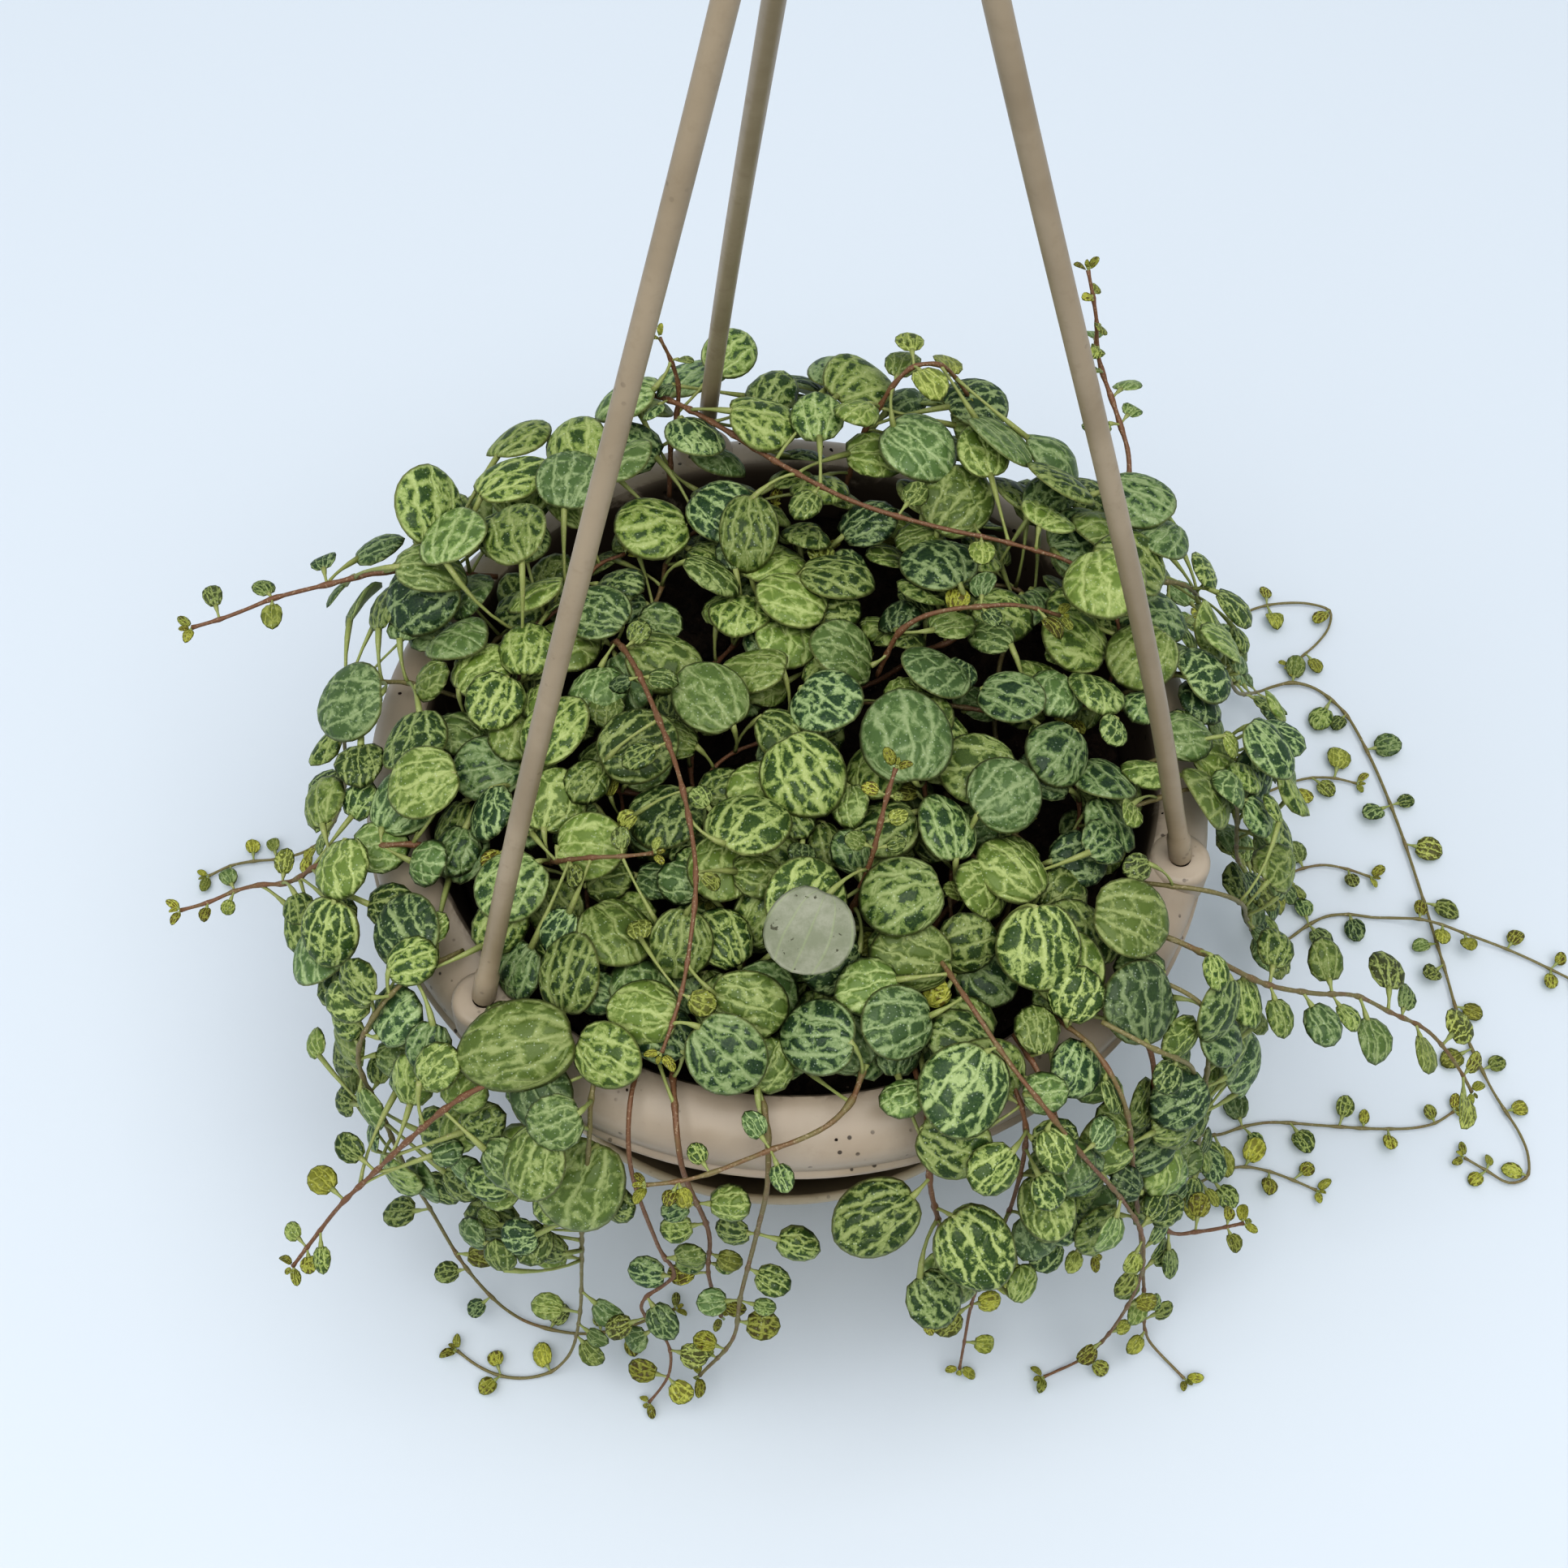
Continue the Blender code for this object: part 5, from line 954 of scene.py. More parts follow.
# ------------------------------------------------------------------ finishes
class Mixer:
    """The node graph of one finish, wired with short calls."""

    def __init__(self, name: str, roughness: float) -> None:
        """Starts a material that holds its shader and output.

        Args:
            name: the material's name.
            roughness: the shader's roughness where nothing changes it.
        """
        self.material = bpy.data.materials.new(name)
        self.material.use_nodes = True
        self.tree = self.material.node_tree
        self.shader = self.tree.nodes["Principled BSDF"]
        self.shader.inputs["Roughness"].default_value = roughness

    def node(self, kind: str, inputs: dict, **settings: object) -> bpy.types.Node:
        """Adds a node.

        Args:
            kind: the node's type, without its ShaderNode start.
            inputs: what each input is fed, by name or number.
            settings: the node's own settings.

        Returns:
            The node.
        """
        made = self.tree.nodes.new("ShaderNode" + kind)
        for key, value in settings.items():
            setattr(made, key, value)
        for key, value in inputs.items():
            self.feed(made.inputs[key], value)
        return made

    def feed(self, socket: bpy.types.NodeSocket, value: object) -> None:
        """Links another node's output to a socket, or sets a plain value on it.

        Args:
            socket: the socket.
            value: a plain value, a colour or another node's output.
        """
        if isinstance(value, bpy.types.NodeSocket):
            self.tree.links.new(value, socket)
        elif isinstance(value, tuple) and socket.type == "RGBA":
            socket.default_value = (*value, 1.0)
        else:
            socket.default_value = value

    def calc(self, operation: str, a: object, b: object = 0.0, c: object = 0.0) -> bpy.types.NodeSocket:
        """One sum, product or other operation on numbers."""
        return self.node("Math", {0: a, 1: b, 2: c}, operation=operation).outputs[0]

    def times(self, a: object, b: object) -> bpy.types.NodeSocket:
        """Two numbers multiplied."""
        return self.calc("MULTIPLY", a, b)

    def line(self, value: object, slope: object, start: object) -> bpy.types.NodeSocket:
        """A number multiplied by a slope, plus a start."""
        return self.calc("MULTIPLY_ADD", value, slope, start)

    def far(self, a: bpy.types.NodeSocket, b: bpy.types.NodeSocket) -> bpy.types.NodeSocket:
        """The distance from the middle of a place that is a one way and b the other."""
        return self.calc("SQRT", self.calc("ADD", self.times(a, a), self.times(b, b)))

    def chance(self, luck: object, turns: float) -> bpy.types.NodeSocket:
        """Another draw from 0 to 1, made from one that a leaf carries."""
        return self.calc("FRACT", self.times(luck, turns))

    def on_blade(self) -> list[bpy.types.NodeSocket]:
        """The place on a blade, from base to tip and from side to side, each from -1 to 1."""
        flat = self.node("SeparateXYZ", {0: self.node("UVMap", {}, uv_map="blade").outputs[0]})
        return [self.line(flat.outputs[k], 2.0, -1.0) for k in range(2)]

    def tone(self) -> tuple[bpy.types.NodeSocket, ...]:
        """The four numbers that each blade, petiole and stem carries."""
        marks = self.node("Attribute", {}, attribute_name="tone")
        return (*self.node("SeparateColor", {0: marks.outputs["Color"]}).outputs, marks.outputs["Alpha"])

    def place(self) -> bpy.types.NodeSocket:
        """The place on the piece, in metres."""
        return self.node("TexCoord", {}).outputs["Object"]

    def grain(self, where: object, scale: float, detail: float = 3.0, roughness: float = 0.5,
              warp: float = 0.0) -> bpy.types.NodeSocket:
        """Soft random grain from 0 to 1."""
        return self.node("TexNoise", {"Vector": where, "Scale": scale, "Detail": detail,
                                      "Roughness": roughness, "Distortion": warp}).outputs[0]

    def cells(self, where: object, scale: float, feature: str = "DISTANCE_TO_EDGE",
              scatter: float = 1.0) -> bpy.types.NodeSocket:
        """The distance from the edges, or the middles, of random cells.

        Args:
            where: the place.
            scale: how many cells to a unit.
            feature: Blender's name for what is measured.
            scatter: how uneven the cells are, up to 1.

        Returns:
            The distance.
        """
        made = self.node("TexVoronoi", {"Vector": where, "Scale": scale}, feature=feature)
        made.inputs["Randomness"].default_value = scatter
        return made.outputs["Distance"]

    def fade(self, value: object, start: float, end: float) -> bpy.types.NodeSocket:
        """A soft step from 0 at start to 1 at end."""
        made = self.node("MapRange", {0: value, 1: start, 2: end}, interpolation_type="SMOOTHSTEP")
        return made.outputs[0]

    def mix(self, share: object, a: object, b: object, mode: str = "MIX") -> bpy.types.NodeSocket:
        """Two colours mixed by a share.

        Args:
            share: how much of b there is.
            a: the first colour.
            b: the second colour.
            mode: Blender's name for the way of mixing.

        Returns:
            The colour.
        """
        made = self.node("Mix", {}, data_type="RGBA", blend_type=mode)
        for number, value in ((0, share), (6, a), (7, b)):
            self.feed(made.inputs[number], value)
        return made.outputs[2]

    def dress(self, colour: object, roughness: object = None, height: object = None,
              depth: float = 0.0002, strength: float = 0.5) -> bpy.types.Material:
        """Feeds the shader.

        Args:
            colour: the base colour.
            roughness: a changing roughness, or None for the one it starts with.
            height: what stands out on the surface, from 0 to 1.
            depth: how far that stands out, in metres.
            strength: how much of it shows.

        Returns:
            The finished material.
        """
        self.feed(self.shader.inputs["Base Color"], colour)
        if roughness is not None:
            self.feed(self.shader.inputs["Roughness"], roughness)
        if height is not None:
            bump = self.node("Bump", {"Height": height, "Distance": depth, "Strength": strength})
            self.feed(self.shader.inputs["Normal"], bump.outputs[0])
        return self.material


@dataclass(frozen=True)
class MouldedPlastic:
    """Smooth moulded plastic with faint flow marks, fine specks and some dust from the potting mix; where a
    radius is given, dark brown inside it near the rim's top, partly soil stuck to the plastic and partly
    painted shade in the recess above the soil and on the neck under the rim.
    """

    name: str
    light: Colour
    dark: Colour
    roughness: float
    specks: float = 0.0
    soil_and_shade_radius: float = 0.0

    def material(self) -> bpy.types.Material:
        """Builds the material.

        Returns:
            The material.
        """
        m = Mixer(self.name, self.roughness)
        where = m.place()
        cloud = m.grain(where, 34.0, 4.0, 0.6, 0.6)
        fine = m.grain(where, 420.0, 3.0, 0.7)
        colour = m.mix(m.fade(cloud, 0.30, 0.72), self.dark, self.light)
        colour = m.mix(m.fade(fine, 0.52, 0.72), colour, m.mix(0.35, colour, self.dark))
        dust = m.fade(m.grain(where, 120.0, 5.0, 0.72), 0.54, 0.75)
        colour = m.mix(m.times(dust, 0.16), colour, (0.20, 0.15, 0.10))
        if self.specks:
            dots = m.fade(m.cells(where, 520.0, "F1"), 0.20, 0.13)
            some = m.fade(m.grain(where, 62.0, 3.0, 0.7), 0.54, 0.62)
            colour = m.mix(m.times(m.times(dots, some), self.specks), colour,
                           (0.030, 0.020, 0.014))
        # Dark brown inside the given radius near the rim's top: partly soil stuck to the plastic, partly
        # painted shade in the recess above the soil and on the pot's neck under the rim's overhang.
        if self.soil_and_shade_radius:
            spot = m.node("SeparateXYZ", {0: where})
            reach = m.far(spot.outputs[0], spot.outputs[1])
            inside = m.fade(reach, self.soil_and_shade_radius + 0.0022, self.soil_and_shade_radius - 0.0006)
            inner = m.times(inside, m.fade(spot.outputs[2], RIM_TOP - 0.014, RIM_TOP - 0.011))
            blots = m.grain(where, 75.0, 5.0, 0.75, 0.8)
            soil_and_shade = m.fade(m.line(inner, 0.20, blots), 0.50, 0.62)
            colour = m.mix(m.times(m.times(soil_and_shade, inner), 0.85), colour,
                           (0.045, 0.028, 0.018))
        rough = m.line(cloud, 0.20, self.roughness - 0.10)
        rough = m.line(dust, 0.22, rough)
        height = m.line(fine, 0.35, m.times(cloud, 0.65))
        return m.dress(colour, rough, height, 0.00022, 0.35)


@dataclass(frozen=True)
class LeafSkin:
    """The upper face of a leaf: dark ragged blotches between pale veins, yellower on young leaves."""

    name: str = "leaf_upper_face"
    vein: Colour = (0.435, 0.490, 0.215)
    cool_vein: Colour = (0.350, 0.420, 0.225)
    young_vein: Colour = (0.520, 0.510, 0.120)
    ground: Colour = (0.195, 0.265, 0.060)
    cool_ground: Colour = (0.130, 0.205, 0.066)
    young_ground: Colour = (0.300, 0.320, 0.052)
    blotch: Colour = (0.018, 0.050, 0.011)
    cool_blotch: Colour = (0.012, 0.037, 0.019)
    young_blotch: Colour = (0.090, 0.055, 0.010)
    edge: Colour = (0.20, 0.21, 0.075)
    ragged: float = 0.36
    wander: float = 0.44
    vein_gap: float = 0.235

    def material(self) -> bpy.types.Material:
        """Builds the material on each blade's own map, which runs from its base to its tip.

        Returns:
            The material.
        """
        m = Mixer(self.name, 0.42)
        along, across = m.on_blade()
        age, luck, shade, size = m.tone()
        shift = m.times(luck, 61.0)
        own = m.node("CombineXYZ", {0: along, 1: across, 2: shift}).outputs[0]
        opening = m.times(m.calc("ADD", along, 1.06), m.calc("SUBTRACT", 2.3, along))
        spread = m.calc("DIVIDE", m.calc("POWER", m.calc("MAXIMUM", opening, 0.02), 0.62), 1.62)
        wander = m.line(m.grain(own, 1.7, 2.0, 0.5), self.wander, -self.wander / 2)
        lane = m.calc("ADD", m.calc("DIVIDE", across, spread), wander)
        from_vein = m.times(m.calc("PINGPONG", m.calc("ABSOLUTE", lane), self.vein_gap), spread)
        strip = m.node("CombineXYZ", {0: m.line(lane, 2.13, 0.5),
                                      1: m.times(along, 2.1), 2: shift}).outputs[0]
        fineness = m.line(size, 0.45, 0.50)
        from_net = m.line(m.cells(strip, fineness, "DISTANCE_TO_EDGE", 1.0), 0.42, 0.030)
        out = m.far(along, across)
        from_edge = m.line(out, -0.75, 0.75)
        lines = m.calc("MINIMUM", m.calc("SUBTRACT", from_vein, 0.010), from_net)
        lines = m.calc("MINIMUM", lines, from_edge)
        tear = m.line(m.grain(own, 4.6, 5.0, 0.70, 0.5), self.ragged, -self.ragged / 2)
        field = m.calc("ADD", lines, tear)
        start = m.line(m.chance(luck, 13.7), 0.050, 0.026)
        cover = m.fade(field, m.calc("SUBTRACT", start, 0.006), m.calc("ADD", start, 0.052))
        strength = m.line(m.fade(shade, 0.95, 0.30), 0.66, 0.26)
        dark = m.times(cover, strength)
        pale = m.fade(field, 0.100, -0.015)
        fine = m.fade(m.grain(own, 17.0, 4.0, 0.7), 0.44, 0.62)
        fresh = m.chance(luck, 5.1)
        old = m.fade(m.line(fresh, 0.30, age), 0.14, 0.46)
        cool = m.fade(m.chance(luck, 7.3), 0.40, 0.85)
        ground = m.mix(old, self.young_ground, m.mix(cool, self.ground, self.cool_ground))
        vein = m.mix(old, self.young_vein, m.mix(cool, self.vein, self.cool_vein))
        blotch = m.mix(old, self.young_blotch, m.mix(cool, self.blotch, self.cool_blotch))
        colour = m.mix(m.times(pale, 0.85), ground, vein)
        colour = m.mix(m.times(fine, 0.22), colour, ground)
        colour = m.mix(dark, colour, m.mix(m.times(fine, 0.22), blotch, ground))
        bright = m.line(m.chance(luck, 3.7), 0.50, 0.66)
        colour = m.mix(1.0, colour, m.node("CombineColor", {0: bright, 1: bright, 2: bright}).outputs[0],
                       "MULTIPLY")
        rim = m.times(m.fade(out, 0.945, 0.975), 0.60)
        colour = m.mix(rim, colour, self.edge)
        # Tiny pale dots over the blade: painted glints.
        dots = m.fade(m.cells(m.place(), 1500.0, "F1"), 0.22, 0.10)
        colour = m.mix(m.times(dots, 0.30), colour, (0.62, 0.68, 0.58))
        rough = m.line(pale, 0.12, 0.42)
        m.shader.inputs["Specular IOR Level"].default_value = 0.38
        height = m.line(m.grain(m.place(), 900.0, 2.0), 0.22,
                        m.fade(lines, 0.0, 0.11))
        return m.dress(colour, rough, height, 0.00040, 0.55)


@dataclass(frozen=True)
class LeafBack:
    """The underside of a leaf: plain pale grey green with faint veins."""

    name: str = "leaf_underside"
    pale: Colour = (0.32, 0.38, 0.20)
    green: Colour = (0.19, 0.26, 0.095)
    worn_dark: Colour = (0.205, 0.220, 0.150)
    worn_light: Colour = (0.300, 0.305, 0.235)
    spots: Colour = (0.07, 0.07, 0.04)

    def material(self) -> bpy.types.Material:
        """Builds the material on each blade's own map.

        Returns:
            The material.
        """
        m = Mixer(self.name, 0.55)
        along, across = m.on_blade()
        shade = m.tone()[2]
        opening = m.times(m.calc("ADD", along, 1.03), m.calc("SUBTRACT", 1.50, along))
        spread = m.calc("SQRT", m.calc("MAXIMUM", opening, 0.02))
        lane = m.calc("ABSOLUTE", m.calc("DIVIDE", across, spread))
        veins = m.fade(m.calc("PINGPONG", lane, 0.19), 0.035, 0.005)
        mottle = m.grain(m.place(), 700.0, 4.0, 0.65)
        colour = m.mix(m.fade(mottle, 0.35, 0.7), self.green, self.pale)
        faded = m.fade(m.grain(m.place(), 210.0, 5.0, 0.7), 0.35, 0.68)
        worn = m.mix(faded, self.worn_dark, self.worn_light)
        worn = m.mix(m.fade(m.grain(m.place(), 620.0, 3.0, 0.7), 0.64, 0.70), worn, self.spots)
        colour = m.mix(m.fade(shade, 0.97, 0.99), colour, worn)
        colour = m.mix(m.times(veins, 0.30), colour, (0.30, 0.36, 0.18))
        height = m.calc("SUBTRACT", mottle, m.times(veins, 0.5))
        return m.dress(colour, None, height, 0.00015, 0.4)


@dataclass(frozen=True)
class StemSkin:
    """Stems and petioles: red brown where they are old, olive where they are young."""

    name: str = "stem_skin"
    red: Colour = (0.180, 0.092, 0.048)
    olive: Colour = (0.190, 0.165, 0.070)
    petiole: Colour = (0.300, 0.350, 0.125)

    def material(self) -> bpy.types.Material:
        """Builds the material: the tone's first part is redness, the second is 1 on a petiole.

        Returns:
            The material.
        """
        m = Mixer(self.name, 0.50)
        where = m.place()
        redness, on_petiole = m.tone()[:2]
        ring = m.grain(where, 260.0, 3.0, 0.6)
        red = m.fade(m.calc("ADD", redness, m.line(ring, 0.9, -0.45)), 0.30, 0.70)
        colour = m.mix(red, self.olive, self.red)
        colour = m.mix(m.times(on_petiole, 0.85), colour, self.petiole)
        fine = m.grain(where, 2600.0, 2.0, 0.7)
        colour = m.mix(m.times(m.fade(fine, 0.56, 0.70), 0.45), colour, (0.50, 0.42, 0.30))
        return m.dress(colour, None, fine, 0.00010, 0.6)


@dataclass(frozen=True)
class PottingMix:
    """Dark peat with fibres and paler crumbs."""

    name: str = "potting_mix"
    wet: Colour = (0.010, 0.007, 0.005)
    dry: Colour = (0.060, 0.038, 0.024)

    def material(self) -> bpy.types.Material:
        """Builds the material.

        Returns:
            The material.
        """
        m = Mixer(self.name, 0.92)
        where = m.place()
        lumps = m.grain(where, 260.0, 6.0, 0.75, 0.5)
        grit = m.cells(where, 900.0, "F1")
        colour = m.mix(m.fade(lumps, 0.36, 0.66), self.wet, self.dry)
        pale = m.times(m.fade(grit, 0.22, 0.08), m.fade(m.grain(where, 90.0), 0.50, 0.62))
        colour = m.mix(m.times(pale, 0.55), colour, (0.26, 0.20, 0.14))
        return m.dress(colour, None, m.calc("ADD", lumps, m.times(grit, 0.6)), 0.0012, 0.9)


@dataclass(frozen=True)
class PaintedFloor:
    """The pale painted board that the pot stands on, slightly cool."""

    name: str = "painted_board"
    light: Colour = (0.60, 0.645, 0.70)
    shade: Colour = (0.565, 0.615, 0.68)

    def material(self) -> bpy.types.Material:
        """Builds the material.

        Returns:
            The material.
        """
        m = Mixer(self.name, 0.6)
        where = m.place()
        soft = m.fade(m.grain(where, 2.2, 2.0), 0.3, 0.7)
        colour = m.mix(m.times(soft, 0.06), self.light, self.shade)
        return m.dress(colour, None, m.grain(where, 300.0), 0.0001, 0.1)


# ------------------------------------------------------------------ making pieces
def object_of(name: str, mesh: bpy.types.Mesh, *finishes: bpy.types.Material) -> bpy.types.Object:
    """A named object for a mesh, with its materials, linked to the scene.

    Args:
        name: the object's name.
        mesh: its mesh.
        finishes: its materials, in order.

    Returns:
        The object.
    """
    made = bpy.data.objects.new(name, mesh)
    bpy.context.scene.collection.objects.link(made)
    for finish in finishes:
        mesh.materials.append(finish)
    return made


def mesh_of(name: str, shape: bmesh.types.BMesh, smooth: bool = True) -> bpy.types.Mesh:
    """Turns a worked shape into a mesh.

    Args:
        name: the mesh's name.
        shape: the shape, which is freed.
        smooth: whether its faces are shaded smoothly.

    Returns:
        The mesh.
    """
    mesh = bpy.data.meshes.new(name)
    for face in shape.faces:
        face.smooth = smooth
    shape.to_mesh(mesh)
    shape.free()
    return mesh


def spun(profile: list[tuple[float, float]], steps: int) -> bmesh.types.BMesh:
    """Turns a profile once about the Z axis.

    Args:
        profile: radius and height of each point, both ends on the axis.
        steps: how many steps the turn has.

    Returns:
        The closed shape, facing outwards.
    """
    shape = bmesh.new()
    verts = [shape.verts.new((r, 0.0, z)) for r, z in profile]
    edges = [shape.edges.new(pair) for pair in zip(verts, verts[1:])]
    bmesh.ops.spin(shape, geom=verts + edges, axis=(0, 0, 1), cent=(0, 0, 0), angle=math.tau, steps=steps,
                   use_merge=True)
    bmesh.ops.remove_doubles(shape, verts=shape.verts, dist=0.000005)
    bmesh.ops.recalc_face_normals(shape, faces=shape.faces)
    return shape


def arc(centre: tuple[float, float], half_width: float, half_height: float, start: float, end: float,
        steps: int) -> list[tuple[float, float]]:
    """Points along a stretch of an ellipse.

    Args:
        centre: its middle.
        half_width: half its width.
        half_height: half its height.
        start: the angle of the first point, in degrees from +X.
        end: the angle of the last point.
        steps: how many pieces the stretch has.

    Returns:
        The points.
    """
    points = []
    for k in range(steps + 1):
        angle = math.radians(start + (end - start) * k / steps)
        points.append((centre[0] + half_width * math.cos(angle), centre[1] + half_height * math.sin(angle)))
    return points


def posts(radius: float, low: float, high: float, places: Iterable[tuple[float, float]],
          sides: int) -> bmesh.types.BMesh:
    """Upright round posts of one size at several places.

    Args:
        radius: their radius.
        low: where they start.
        high: where they end.
        places: where they stand.
        sides: how many sides they have.

    Returns:
        The shape.
    """
    shape = bmesh.new()
    for x, y in places:
        bmesh.ops.create_cone(shape, cap_ends=True, segments=sides, radius1=radius, radius2=radius,
                              depth=high - low, matrix=Matrix.Translation((x, y, (low + high) / 2)))
    return shape


def tubes(name: str, lines: list[tuple[list[Vector], list[float]]], roundness: int) -> bpy.types.Mesh:
    """Closed round tubes along rows of points, as one mesh.

    Args:
        name: the mesh's name.
        lines: the points of each tube and its radius at each.
        roundness: how round it is, 2 for eight sides.

    Returns:
        The mesh.
    """
    curve = bpy.data.curves.new(name, "CURVE")
    curve.dimensions = "3D"
    curve.bevel_depth = 1.0
    curve.bevel_resolution = roundness
    curve.use_fill_caps = True
    for points, radii in lines:
        spline = curve.splines.new("POLY")
        spline.points.add(len(points) - 1)
        for knot, point, radius in zip(spline.points, points, radii):
            knot.co = (*point, 1.0)
            knot.radius = radius
    guide = bpy.data.objects.new(name, curve)
    bpy.context.scene.collection.objects.link(guide)
    bpy.context.view_layer.update()
    mesh = bpy.data.meshes.new_from_object(guide.evaluated_get(bpy.context.evaluated_depsgraph_get()))
    bpy.data.objects.remove(guide, do_unlink=True)
    bpy.data.curves.remove(curve)
    shape = bmesh.new()
    shape.from_mesh(mesh)
    bmesh.ops.remove_doubles(shape, verts=shape.verts, dist=0.000002)
    bmesh.ops.recalc_face_normals(shape, faces=shape.faces)
    bpy.data.meshes.remove(mesh)
    return mesh_of(name, shape)


def worked(piece: bpy.types.Object, cuts: list[tuple[str, bmesh.types.BMesh]]) -> None:
    """Joins shapes to a piece or cuts them out of it, and keeps the result as its mesh.

    Args:
        piece: the piece.
        cuts: UNION or DIFFERENCE and the shape, in order.
    """
    tools = []
    for k, (operation, shape) in enumerate(cuts):
        tool = object_of(f"tool_{k}", mesh_of(f"tool_{k}", shape))
        cut = piece.modifiers.new("cut", "BOOLEAN")
        cut.operation, cut.solver, cut.object = operation, "EXACT", tool
        tools.append(tool)
    bpy.context.view_layer.update()
    done = bpy.data.meshes.new_from_object(piece.evaluated_get(bpy.context.evaluated_depsgraph_get()))
    piece.modifiers.clear()
    piece.data = done
    done.shade_smooth()
    done.set_sharp_from_angle(angle=math.radians(32))
    for tool in tools:
        bpy.data.objects.remove(tool, do_unlink=True)


def stand_for(piece: bpy.types.Object, slot: str, *nodes: str) -> None:
    """Says what a piece rides on, hides the nodes that it stands for, and reports it.

    Args:
        piece: the piece.
        slot: not used.
        nodes: the nodes that it stands for, if any.
    """
    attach(piece, BODY)
    if nodes:
        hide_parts(*nodes)
    log.info("%s: %d faces for %s", piece.name, len(piece.data.polygons), ", ".join(nodes) or "detail")


@dataclass
class HangingPot:
    """The tapering pot: rolled rim, flange, three lugs with socket holes, and drain holes."""

    rim_crown: float = 0.0055
    flange_height: float = 0.0009
    groove: float = 0.00025
    steps: int = 144
    arc_steps: int = 12
    socket_radius: float = 0.0016
    lug_radius: float = 0.0046
    drain_radius: float = 0.0025
    drain_circle: float = 0.017
    peg_hole: float = 0.0035
    plastic: MouldedPlastic = MouldedPlastic("pot_cream_plastic", (0.430, 0.368, 0.298),
                                             (0.365, 0.300, 0.232), 0.40, 0.85, RIM_RADIUS - RIM_WIDTH)

    def profile(self) -> list[tuple[float, float]]:
        """The pot's outline, from the middle of its floor up the inside and down the outside.

        Returns:
            Radius and height of each point.
        """
        foot = SAUCER_FLOOR + CLEARANCE
        inner = RIM_RADIUS - RIM_WIDTH
        skirt_end = RIM_TOP - SKIRT_DEPTH
        middle = (inner + 0.0008, RIM_TOP - self.rim_crown)
        across = RIM_RADIUS - middle[0]
        points = [(0.0, foot + POT_WALL), (POT_BASE_RADIUS - POT_WALL - 0.001, foot + POT_WALL),
                  (POT_BASE_RADIUS - POT_WALL, foot + POT_WALL + 0.001), (inner - 0.0002, RIM_TOP - 0.0030),
                  (inner, RIM_TOP - 0.0014), (inner + 0.0003, RIM_TOP - 0.0005)]
        points += arc(middle, across, self.rim_crown, 90, 0, self.arc_steps)
        edge = skirt_end + self.flange_height
        points += [(RIM_RADIUS, edge + 0.0009), (RIM_RADIUS - self.groove, edge + 0.0004),
                   (RIM_RADIUS + FLANGE * 0.7, edge), (RIM_RADIUS + FLANGE, edge - 0.0003),
                   (RIM_RADIUS + FLANGE, skirt_end + 0.0002), (RIM_RADIUS + FLANGE - 0.0002, skirt_end),
                   (RIM_RADIUS - POT_WALL, skirt_end)]
        points += arc(middle, across - POT_WALL, self.rim_crown - POT_WALL, 0, 70, self.arc_steps // 2)
        neck = RIM_TOP - self.rim_crown
        points += [(pot_radius(neck) + 0.0004, neck - 0.001), (POT_BASE_RADIUS, foot + 0.001),
                   (POT_BASE_RADIUS - 0.001, foot), (0.0, foot)]
        return points

    def build(self) -> bpy.types.Object:
        """Makes the pot and dresses it.

        Returns:
            The pot.
        """
        foot = SAUCER_FLOOR + CLEARANCE
        pot = object_of("pot_moulding", mesh_of("pot_moulding", spun(self.profile(), self.steps)),
                        self.plastic.material())
        arms = [tuple(heading(arm.value).xy * ARM_CIRCLE) for arm in Arm]
        lugs = posts(self.lug_radius, RIM_TOP - LUG_DEPTH, RIM_TOP + LUG_RISE, arms, 48)
        rims = [e for e in lugs.edges if all(abs(v.co.z - RIM_TOP - LUG_RISE) < 1e-6 for v in e.verts)]
        bmesh.ops.bevel(lugs, geom=rims, offset=0.0012, segments=4, profile=0.5, affect="EDGES", material=-1)
        drains = [tuple(heading(90.0 * k + 45.0).xy * self.drain_circle) for k in range(4)]
        worked(pot, [("UNION", lugs), ("DIFFERENCE", posts(self.socket_radius, 0.06, 0.1, arms, 28)),
                     ("DIFFERENCE", posts(self.drain_radius, -0.001, foot + 0.004, drains, 20)),
                     ("DIFFERENCE", posts(self.peg_hole, -0.001, foot + 0.004, [(0.0, 0.0)], 28))])
        stand_for(pot, "pot_plastic", "pot")
        return pot


